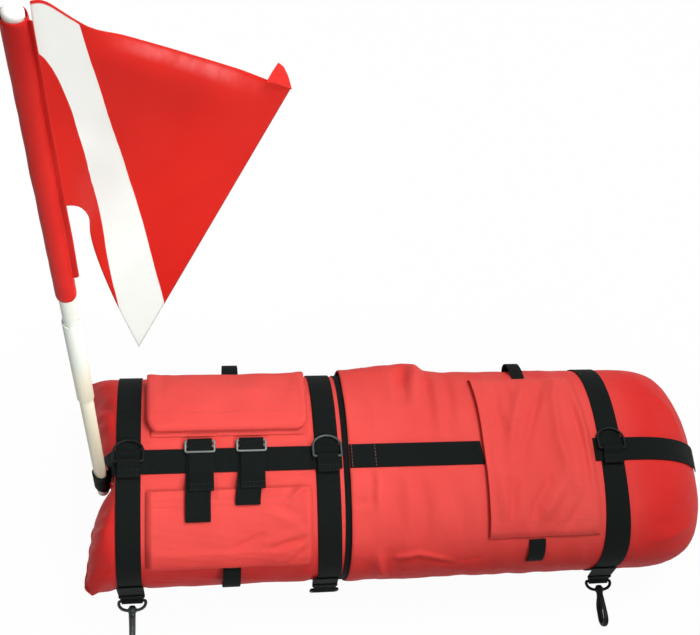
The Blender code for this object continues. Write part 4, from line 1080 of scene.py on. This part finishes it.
def makeTriGlide(name, place, off, replaced):
    # a stamped frame of flat bar with a third bar across its middle
    bar, thick, glide = gear["bar"], gear["glideThick"], gear["glide"]
    w, h = (gear["glideWide"] - bar) / 2, (gear["glideHigh"] - bar) / 2
    loop = filleted([(-w, -h, 0), (w, -h, 0), (w, h, 0), (-w, h, 0)], 0.0022, closed=True)
    middle = points3(np.linspace(-w, w, 12), 0, 0)
    grids = [rod(path, bar / 2 * share, (0, 0, 1), closed, sides=16, tall=thick / bar, square=0.55)
             for path, share, closed in ((loop, 1, True), (middle, 0.92, False))]
    spot, ahead = (lifted(tailSkin, place, turnAt(across), off + thick / 2) for across in (glide, glide + bar))
    lean = math.atan2(ahead[2] - spot[2], ahead[1] - spot[1])
    mesh = joined(name, [solid("glidePart", grid) for grid in grids])
    mesh.transform(Matrix.Translation(spot) @ Matrix.Rotation(lean, 4, "X"))
    piece(mesh, nickel, "float", replaced)


makeLoops()
makeGearStraps()
print("loops and gear straps made")

dRing = {"wire": 0.0032, "half": 0.0175, "height": 0.0275, "leg": 0.013, "tab": 0.026, "tabLong": 0.020}


def pathOf(*parts):
    # a path of (y, z) points from several stretches, each a y and a z, of which one may be a number
    return np.concatenate([np.stack(np.broadcast_arrays(*part), -1) for part in parts])


def ribbonPath(name, path, x, width, replaced, shift=0.0):
    # webbing whose middle line is a path of (y, z) points; width and shift may be one for each point
    tangent = unit(np.gradient(path, axis=0))
    width, shift = (np.broadcast_to(value, len(path))[:, None] for value in (width, shift))
    grid = points3(x + shift + width / 2 * bandAcross, path[:, :1], path[:, 1:])
    normals = np.broadcast_to(points3(0, -tangent[:, 1], tangent[:, 0])[:, None], grid.shape)
    webbing(name, grid - normals * strap["thick"] / 2, normals, replaced)
    return grid, normals


def makeRing(label, skin, x, height, material):
    # a D of round wire that leans back from its bar onto the run, and the folded tab round the bar
    key, radius, thick = label.lower(), dRing["wire"] / 2, strap["thick"]
    half, leg, tall = dRing["half"], dRing["leg"], dRing["height"]
    bore = radius + gap
    shell = bore + thick
    barZ = height + gap + shell
    rest = lifted(skin, x, turnAt(tall), 2 * gap + thick + radius)[2]
    tilt = math.asin((barZ - rest) / tall)
    a = np.linspace(math.pi, 0, 40)
    crown = points3(half * np.cos(a), leg + (tall - leg) * np.sin(a), 0)
    left = points3(-half, np.linspace(0.003, leg, 8)[:-1], 0)
    corner = filleted([(-half, 0.0045, 0), (-half, 0, 0), (0, 0, 0)], 0.0022)[1:-1]
    mirror = (-1, 1, 1)
    path = np.concatenate([left, crown, (left * mirror)[::-1], corner * mirror, [(0, 0, 0)], corner[::-1]])
    leaning = points3(x + path[:, 0], path[:, 1] * math.cos(tilt), barZ - path[:, 1] * math.sin(tilt))
    grid = rod(leaning, radius, (0, math.sin(tilt), math.cos(tilt)), closed=True)
    piece(solid("dRing" + label, grid), material, key + "_ring", "d_ring_" + key)
    wrap, low = bore + thick / 2, thick / 2 - shell
    back, high = dRing["tabLong"], low + thick * 1.06
    a, k = np.linspace(-math.pi / 2, math.pi / 2, 22), np.linspace(0, 1, 16)
    yz = pathOf((np.linspace(-back, -0.001, 18), low), (wrap * np.cos(a), wrap * np.sin(a)),
                (-0.0005 - 0.0085 * k, wrap + (high - wrap) * smoothStep(k)),
                (np.linspace(-0.0098, 0.0008 - back, 10), high))
    grid, normals = ribbonPath("ringTab" + label, yz + (0, barZ), x, dRing["tab"], "ring_tab_" + key)
    sew("black", grid - normals * thick / 2, (0.0, 0.0, 1.0), np.s_[-2, 1:-1], np.s_[-9, 1:-1])


def makeRings():
    top = hull["axis"] + hull["rise"] + 2 * layer
    makeRing("Tail", tailSkin, strap["tail"], top, steelBlack)
    makeRing("Mid", tailSkin, strap["middle"], top, steelGrey)
    makeRing("Nose", noseSkin, strap["nose"], top + lapStep, steelBlack)


makeRings()
print("D-rings made")

hook = {"eyeWire": 0.0040, "eyeHalf": 0.0170, "eyeReach": 0.0120, "eyeHeight": 0.0135, "eyeOut": 0.0042,
        "noseLean": 0.020, "midHeight": 0.034, "midLean": 0.006,
        "tabTop": 0.095, "collar": 0.0055, "collarLong": 0.007, "shank": 0.0028, "head": 0.0042, "headLong": 0.0022,
        "wire": 0.0056, "half": 0.0095, "long": 0.0315, "shankLong": 0.0115, "mouth": 0.0115, "gate": 0.0030,
        "gateGap": 0.0012, "flare": 0.006}
eyeShares = ((-1.0, 0.0), (-1.0, 0.45), (-0.8, 0.8), (-0.45, 1.0), (0.0, 1.0), (0.45, 1.0), (0.8, 0.8),
             (1.0, 0.45), (1.0, 0.0))


def makeHookTab(name, x, reach, replaced, height, lean):
    # webbing that hangs from the strap, goes round the eye's bar and is sewn back to itself
    thick = strap["thick"]
    bore = hook["eyeWire"] / 2 + gap
    shell, wrap = bore + thick, bore + thick / 2
    wall = -reach - gap
    inner, outer, axisY = wall - thick / 2, wall - 1.55 * thick, wall - hook["eyeOut"]
    foot, top = height + 2.4 * shell, height + 3.4 * shell
    k, a = np.linspace(0, 1, 14)[1:], np.linspace(0, -math.pi, 24)[1:]
    yz = pathOf((inner, np.linspace(hook["tabTop"], foot, 26)),
                (inner + (axisY + wrap - inner) * smoothStep(k), foot + (height - foot) * k),
                (axisY + wrap * np.cos(a), height + wrap * np.sin(a)),
                (axisY - wrap + (outer - axisY + wrap) * smoothStep(k), height + (top - height) * k),
                (outer, np.linspace(top, top + 0.014, 11)[1:]))
    shift = lean * (hook["tabTop"] - yz[:, 1]) / (hook["tabTop"] - height)
    width = strap["width"] - 2 * thick + hook["flare"] * smoothStep((yz[:, 1] - height - shell * 1.2) / 0.012)
    grid = ribbonPath(name, yz, x, width, replaced, shift)[0]
    sew("black", grid - (0, thick / 2 + 0.0001, 0), (0.0, -1.0, 0.0), np.s_[-2, 1:-1], np.s_[-8, 1:-1])
    return np.array((x + lean, axisY, height))


def makeHook(label, x, reach, material, lean):
    key = label.lower()
    axis = makeHookTab("hookTab" + label, x, reach, "hook_tab_" + key, hook["eyeHeight"], lean)
    x, centre = axis[0], axis[2]
    wire, bend, shank, shankLong = hook["wire"] / 2, hook["half"], hook["shank"], hook["shankLong"]
    # the eye: a loop through the tab, and a collar that the shank turns in
    corners = [axis + (hook["eyeHalf"] * wide, -hook["eyeReach"] * out, 0) for wide, out in eyeShares]
    loop = rod(filleted(corners, 0.0028, closed=True), hook["eyeWire"] / 2, (0, 0, 1), closed=True)
    inner, outer, lip, long = shank + gap, hook["collar"], 0.0008, hook["collarLong"]
    near = axis[1] - hook["eyeReach"] + long / 2
    ring = [(inner, 0), (outer - lip, 0), (outer, lip), (outer * 1.06, long * 0.25), (outer, long * 0.5),
            (outer, long - lip), (outer - lip, long), (inner, long), (inner, 0)]
    collar = spun(ring, (x, near, centre), (0, -1, 0), 28)
    mesh = joined("hookEye" + label, [solid("eyeLoop", loop), solid("eyeCollar", collar)])
    piece(mesh, material, key + "_eye", "hook_eye_" + key)
    # the hook: down from the shank in a sweep, straight on, half a turn and back to the nose
    neck = near - long - gap
    sweep = bezier([(neck, centre), (neck - shankLong * 0.9, centre), (neck - shankLong * 0.9, centre - bend),
                    (neck - shankLong * 1.9, centre - bend)], np.linspace(0, 1, 14))
    tip = neck - shankLong - hook["long"]
    a = np.linspace(0, -math.pi, 26)
    arc = np.stack([tip + bend + bend * np.sin(a), centre - bend * np.cos(a)], -1)
    noseY = arc[-1, 0] + hook["mouth"] / 2
    nose = np.stack([np.linspace(arc[-1, 0], noseY, 6)[1:], np.full(5, centre + bend)], -1)
    yz = np.concatenate([sweep, np.linspace(sweep[-1], arc[0], 8)[1:-1], arc, nose])
    body = rod(points3(x, yz[:, 0], yz[:, 1]), wire * np.linspace(1.15, 0.75, len(yz)), (1, 0, 0), sides=18,
               tall=1.4, square=0.8)
    # its shank runs through the collar and ends in a head
    length, head, headLong = near - neck + gap, hook["head"], hook["headLong"]
    profile = [(0, -shank), (shank, -shank), (shank, length), (head - 0.0004, length), (head, length + 0.0004),
               (head * 0.9, length + headLong * 0.75), (head * 0.5, length + headLong), (0, length + headLong)]
    pin = spun(profile, (x, neck, centre), (0, 1, 0), 24)
    mesh = joined("hookBody" + label, [solid("hookWire", body), solid("hookPin", pin)])
    piece(mesh, material, key + "_hook", "hook_" + key)
    # the gate closes on the nose
    gate = hook["gate"] / 2
    path = np.linspace((x, neck - shankLong * 0.5, centre + wire * 1.15 + gate + gap),
                       (x, noseY + hook["gateGap"], centre + bend), 12)
    piece(solid("hookGate" + label, rod(path, gate, (1, 0, 0), tall=1.9)), material, key + "_gate", "gate_" + key)


def makeHooks():
    reach = hull["halfWidth"] + layer
    makeHook("Tail", strap["tail"], reach, steelGrey, 0.0)
    makeHook("Nose", strap["nose"], reach + lapStep, steelBlack, hook["noseLean"])
    axis = makeHookTab("midTabWebbing", strap["middle"], reach, "mid_tab", hook["midHeight"], hook["midLean"])
    wide, low = hook["eyeHalf"], -hook["eyeReach"]
    corners = [axis + corner for corner in ((-wide, 0, 0), (-wide, 0, low), (wide, 0, low), (wide, 0, 0))]
    grid = rod(filleted(corners, 0.003, closed=True), hook["eyeWire"] / 2, (0, 1, 0), closed=True)
    piece(solid("midEyeBar", grid), steelBlack, "mid_eye_bar", "mid_eye")


makeHooks()
print("hooks made")

# the mast: heights along it are from the low end of its tube
mast = {"radius": 0.00725, "wall": 0.0014, "socketLow": 0.268, "socketHigh": 0.426, "socketWall": 0.0012,
        "long": 0.803, "sleeveLow": 0.472, "sleeveHigh": 0.8025, "sleeveGap": 0.0006, "sleeveWall": 0.0010,
        "cap": 0.004, "plug": 0.018, "foot": 0.004, "loopLow": 0.014, "loopLong": 0.043, "loopGap": 0.0005,
        "loopSlant": 0.006}


def mastPoint(along):
    return mastFoot + mastAxis * along


def pipe(name, low, high, inner, outer, body, replaced, lip=0.0004):
    # a tube with softly rounded lips, closed on itself
    long, small = high - low, lip * 0.3
    profile = [(inner, 0), (inner + small, 0), (outer - lip, 0), (outer - small, small), (outer, lip),
               (outer, long / 2), (outer, long - lip), (outer - small, long - small), (outer - lip, long),
               (inner, long), (inner, long / 2), (inner, 0)]
    piece(solid(name, spun(profile, mastPoint(low), mastAxis, 44)), tubeWhite, body, replaced)


def makeMast():
    m, r = mast, mast["radius"]
    bore, middle, inner = r - m["wall"], (m["socketLow"] + m["socketHigh"]) / 2, r + gap
    pipe("mastLowerTube", 0.0, middle - gap, bore, r, "low_mast", "mast_lower")
    pipe("mastSocketTube", m["socketLow"], m["socketHigh"], inner, inner + m["socketWall"], "low_mast", "mast_socket")
    pipe("mastUpperTube", middle + gap, m["long"], bore, r, "top_mast", "mast_upper")
    plug, cap, foot = bore - gap, m["cap"], m["foot"]
    profile = [(0, cap), (r * 0.5, cap * 0.97), (r * 0.75, cap * 0.9), (r * 0.93, cap * 0.68), (r, cap * 0.4),
               (r, gap), (plug, gap), (plug, -m["plug"]), (0, -m["plug"])]
    piece(solid("mastCapPlug", spun(profile, mastPoint(m["long"]), mastAxis)), capWhite, "top_mast", "mast_cap")
    profile = [(0, m["plug"]), (plug, m["plug"]), (plug, -gap), (r, -gap), (r * 0.97, -foot * 0.4),
               (r * 0.8, -foot), (r * 0.4, -foot), (0, -foot)]
    piece(solid("mastFootRubber", spun(profile, mastPoint(0.0), mastAxis)), rubberBlack, "low_mast",
          "mast_foot_plug")


def makeMastLoop():
    # a ring of webbing round the tube, a little aslant
    m, turn = mast, allRound(72)
    inner, along = m["radius"] + m["loopGap"], mast["loopLow"] + mast["loopLong"] * (bandAcross + 1) / 2
    normals = wheel(mastAxis, turn)
    height = along + m["loopSlant"] * np.cos(turn - 0.4)
    grid = mastPoint(0) + height[..., None] * mastAxis + inner * normals
    webbing("mastLoopWebbing", grid, normals, "mast_loop", ring=True)
    # the run's end comes down to the loop and is sewn to it
    k, across = np.linspace(0, 1, 24)[:, None], bandAcross[None, :]
    runEnd = tailSkin(hull["tailShoulder"] - 0.72 * hull["seamReach"], turnAt(0.0))
    start = points3(runEnd[0] + 0.0015, strap["width"] / 2 * across, runEnd[2] + 0.0016)
    end = mastPoint(0) + along[None, :, None] * mastAxis + (inner + 0.0004, 0.002, 0)
    drop = start + (end - start) * k[..., None] + np.array((0, 0, 0.004)) * np.sin(math.pi * k)[..., None]
    webbing("mastLoopTail", drop, gridNormals(drop, (-0.3, -0.3, 1.0)))


makeMast()
makeMastLoop()
print("mast made")

# the flag: corners and pulls are from the mast end of its edge, and the stripe's edges are pairs of u and v
flag = {"topFly": (0.1927, 0.1399, -0.2665), "lowFly": (0.0456, 0.0286, -0.1989), "notch": 0.604,
        "topPulls": ((0.0603, 0.0509, -0.0885), (0.1243, 0.0959, -0.1785)),
        "footPulls": ((0.0273, 0.0321, -0.0480), (-0.0161, 0.0450, -0.0510)),
        "thick": 0.0008, "columns": 150, "rows": 120, "curl": 0.007, "wave": 0.0016, "ripple": 0.0009,
        "arch": 0.0066, "archEnd": 0.0062, "sag": 0.0150, "topHem": 0.010,
        "stripeHigh": ((0, -0.35), (0.128, -0.03), (0.149, 0.038), (0.165, 0.098), (0.183, 0.158), (0.206, 0.22),
                       (0.232, 0.285), (0.263, 0.351), (0.303, 0.417), (0.355, 0.481), (0.416, 0.539),
                       (0.485, 0.587), (0.555, 0.623), (0.621, 0.651), (0.681, 0.671), (0.732, 0.691),
                       (0.78, 0.709), (0.821, 0.727), (0.86, 0.745), (0.897, 0.762), (0.931, 0.778),
                       (0.964, 0.792), (0.994, 0.808), (1, 0.812)),
        "stripeLow": ((0, 0.178), (0.021, 0.2), (0.043, 0.238), (0.062, 0.285), (0.077, 0.335), (0.094, 0.389),
                      (0.112, 0.445), (0.127, 0.505), (0.147, 0.569), (0.173, 0.633), (0.206, 0.699),
                      (0.256, 0.766), (0.336, 0.824), (0.435, 0.858), (0.519, 0.876), (0.585, 0.89),
                      (0.639, 0.904), (0.684, 0.92), (0.722, 0.936), (0.76, 0.95), (0.794, 0.962), (0.825, 0.974),
                      (0.857, 0.984), (0.884, 0.996), (0.935, 1.02), (1, 1.06)),
        "stripLow": 0.5050, "stripHigh": 0.8015, "stripNear": 0.0070, "stripFar": 0.0148, "stripTop": 0.0122,
        "stripRound": 0.006, "stripThick": 0.0014, "tipFold": 0.0195}
flagClear = mast["radius"] + mast["sleeveGap"] + mast["sleeveWall"] + gap + 0.0010
flagUp = np.array((0.0064, 0.9193, 0.3936))  # square to the top edge, in the cloth


def flagSurface(u, v):
    # straight threads from the curve of the upper edge to the curve of the lower one
    top = mastPoint(mast["sleeveHigh"] - gap) + (flagClear, 0, 0)
    lowFly = mastPoint(mast["sleeveLow"] + gap) + (flagClear, 0, 0) + flag["lowFly"]
    # the cloth is free of the sleeve below its notch
    low = mastPoint(flag["notch"]) + (flagClear, 0, 0)
    upper = bezier([top, *(top + p for p in flag["topPulls"]), top + flag["topFly"]], u)
    lower = bezier([low, *(low + p for p in flag["footPulls"]), lowFly], u)
    return upper + (lower - upper) * v[..., None]


def makeFlag():
    u, v = np.meshgrid(np.linspace(0, 1, flag["columns"]), np.linspace(0, 1, flag["rows"]), indexing="ij")
    grid, front = flagSurface(u, v), (0.6, -0.7, 0.1)
    slack = np.sin(math.pi * u) * np.sin(math.pi * v)
    wave = flag["wave"] * np.sin(tau * (0.9 * u + 0.35 * v)) + flag["ripple"] * ripple(u * 0.36, v * 0.33, 0.11, 61)
    curl = np.clip(1 - v / 0.14, 0, 1) ** 2 * smoothStep((u - 0.12) / 0.2) * smoothStep((1 - u) / 0.25)
    grid = grid + gridNormals(grid, front) * (wave * slack - flag["curl"] * curl)[..., None]
    # by the mast the top edge arches over the sleeve's end
    arch = (flag["arch"] * bell(u - 0.075, 0.085) + flag["archEnd"] * bell(u - 0.020, 0.055)) * (1 - v) ** 7
    grid = grid + arch[..., None] * np.array((0.006, 0.919, 0.394))
    # and the notch's edge sags into a round
    sag = flag["sag"] * bell(u - 0.38, 0.21) * v ** 10
    grid = grid + sag[..., None] * (np.array((0.27, 0, 0)) - mastAxis)
    normals = gridNormals(grid, front)
    mesh = slab("flagSheet", grid - normals * flag["thick"] / 2, normals, flag["thick"], flat=np.stack([u, v], -1))
    # the stripe lies between two slanting lines of the cloth, with a red hem along the top
    upper, lower = (np.interp(u, *zip(*flag[key])) for key in ("stripeHigh", "stripeLow"))
    stripe = np.minimum(np.minimum(v - upper, lower - v), v - flag["topHem"])
    values = mesh.attributes.new("stripe", "FLOAT", "POINT")
    values.data.foreach_set("value", np.tile(stripe.ravel(), 2).astype(np.float32))
    area = np.linalg.norm(np.cross(np.diff(grid, axis=0)[:, :-1], np.diff(grid, axis=1)[:-1]), axis=-1).sum()
    print(f"flag: area {area:.4f}")
    made = piece(mesh, flagNylon, "flag", "flag_cloth")


def makeSleeve():
    # a tube of cloth round the mast, with a few shallow ridges
    m, turn = mast, allRound(64)
    along = np.linspace(m["sleeveLow"], m["sleeveHigh"], 110)[None, :]
    out = wheel(mastAxis, turn)
    ridges = 0.0002 + 0.00035 * np.abs(ripple(along, turn * 0.004, 0.05, 71))
    grid = mastPoint(0) + along[..., None] * mastAxis + (m["radius"] + m["sleeveGap"] + ridges)[..., None] * out
    normals = gridNormals(grid, out, ring=True)
    piece(slab("flagSleeveCloth", grid, normals, m["sleeveWall"], ring=True), sleeveRed, "flag", "flag_sleeve")


def makeHemStrip():
    # the sleeve's sewn edge: a flat strip beside the tube, round at its low corner
    low, high, near, corner = (flag[key] for key in ("stripLow", "stripHigh", "stripNear", "stripRound"))
    along = dense(low, high, 90, 0.012, 12)[:, None]
    cut = corner * (1 - np.sqrt(1 - np.clip(1 - (along - low) / corner, 0, 1) ** 2))
    narrow = (flag["stripFar"] - flag["stripTop"]) * (along - low) / (high - low)
    share = np.linspace(0, 1, 15)[None, :]
    out = near + (flag["stripFar"] - cut - narrow - near) * share
    back = -0.0010 - 0.0022 * share + 0.0006 * np.sin(tau * along / 0.09) * share
    grid = mastPoint(0) + along[..., None] * mastAxis + points3(out, back, 0)
    normals = gridNormals(grid, (0.1, -1.0, 0.2))
    piece(slab("flagHemStrip", grid, normals, flag["stripThick"]), sleeveRed, "flag")
    sew("flagRed", grid + normals * flag["stripThick"], normals, np.s_[3:, 4])


def makeTipFold():
    # the fly's top corner, turned up and back over the edge
    base = bezier([(0, 0, 0), *flag["topPulls"], flag["topFly"]], np.linspace(0.872, 1.0, 16))
    base = base + mastPoint(mast["sleeveHigh"] - gap) + (flagClear, 0, 0)
    rise = np.interp(np.linspace(0, 1, 16), (0, 0.12, 0.27, 0.5, 0.75, 1.0),
                     (0.0006, 0.0100, flag["tipFold"], 0.0175, 0.0110, 0.0010))[:, None, None]
    share = np.linspace(0, 1, 8)[None, :, None]
    grid = base[:, None] + share * rise * (flagUp + np.array((0.0035, 0.0, 0.0)) / 0.015) - 0.0012 * flagUp
    normals = gridNormals(grid, (0.3, -0.6, 0.7))
    piece(slab("flagTipFold", grid, normals, flag["thick"]), sleeveRed, "flag")


makeFlag()
makeSleeve()
makeHemStrip()
makeTipFold()
print("flag made")


def makeBladder():
    # the airtight bag: the covers' section drawn in by a little, rounded off at both ends
    tailStart, tailRound, inset = -0.327, 0.045, cloth + gap
    share = np.sin(np.linspace(0, 1, 22) * math.pi / 2)
    x = np.concatenate([tailStart - tailRound * share[::-1],
                        hull["noseShoulder"] + (hull["noseLength"] - 0.006) * share])[:, None]
    closing = np.concatenate([share[::-1], share])[:, None]
    across, up = section(allRound(96).T)
    z = hull["axis"] - hull["droop"] * noseShare(x) ** 2 + halfHigh(up, -inset) * rounded(closing) * up
    y = (hull["halfWidth"] - inset) * rounded(closing, 3) * across
    grid = points3(x, y, np.maximum(z, lapStep + inset))
    piece(solid("bladderFilm", grid), filmAmber, "float", "bladder")


makeBladder()
for name in ("valve_stem", "valve_plug"):
    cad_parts[name].data.materials.clear()
    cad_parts[name].data.materials.append(capWhite)
threads = {"red": ("coverStitches", threadRed, "float", "cover_red"),
           "lidRed": ("lidStitches", threadRed, "pocket_flap", "cover_red"),
           "pale": ("flapStitches", threadPale, "float", "cover_red"),
           "flagRed": ("sleeveStitches", threadRed, "flag", "cloth_red"),
           "black": ("webbingStitches", threadBlack, "float", "webbing_black")}
for kind, (name, material, body, slot) in threads.items():
    piece(stitchMesh(name, seams[kind]), material, body)
print("stitches made")

studio = {"key": 39.0, "flag": 1.40, "world": 0.37, "floor": 0.45, "paper": 1.03, "shown": 0.94}
# each lamp's place, aim, size, energy and spread in degrees
lamps = {"keyLamp": ((0.50, 0.62, 2.38), (0, 0, 0.1), 0.8, studio["key"], 180),
         "flagLamp": ((0.40, -0.80, 1.15), (-0.34, 0.07, 0.50), 0.35, studio["flag"], 50)}


def makeStudio():
    # the floor and the world show white where they are seen, and light the object less than that
    bpy.ops.mesh.primitive_plane_add(size=14, location=(0, 0, 0))
    floor = bpy.context.active_object
    floor.name = "studioFloor"
    paint = Paint(bpy.data.materials.new("studioPaper"), Roughness=0.9)
    sight = paint.add("LightPath")
    glow = paint.add("Emission", values={"Color": (1, 1, 1), "Strength": studio["paper"]})
    paint.blend(glow, sight["Is Camera Ray"].most(sight["Is Glossy Ray"]) * studio["shown"])
    grey = studio["floor"]
    floor.data.materials.append(paint.final(Base_Color=paint.mix(3 * (0.96 * grey,), 3 * (grey,), paint.grain(3.0))))
    world = bpy.data.worlds.new("studioWorld")
    bpy.context.scene.world = world
    sky = Paint(world, "Background", Color=(1, 1, 1), Strength=studio["world"])
    white = sky.add("Background", values={"Color": (1, 1, 1)})
    sky.blend(white, sky.add("LightPath")["Is Camera Ray"], "World Output")
    for name, (place, aim, size, energy, spread) in lamps.items():
        data = bpy.data.lights.new(name, "AREA")
        data.size, data.energy, data.spread = size, energy, math.radians(spread)
        lamp = bpy.data.objects.new(name, data)
        bpy.context.scene.collection.objects.link(lamp)
        lamp.location = place
        lamp.rotation_euler = (Vector(aim) - Vector(place)).to_track_quat("-Z", "Y").to_euler()


makeStudio()
print("studio made")
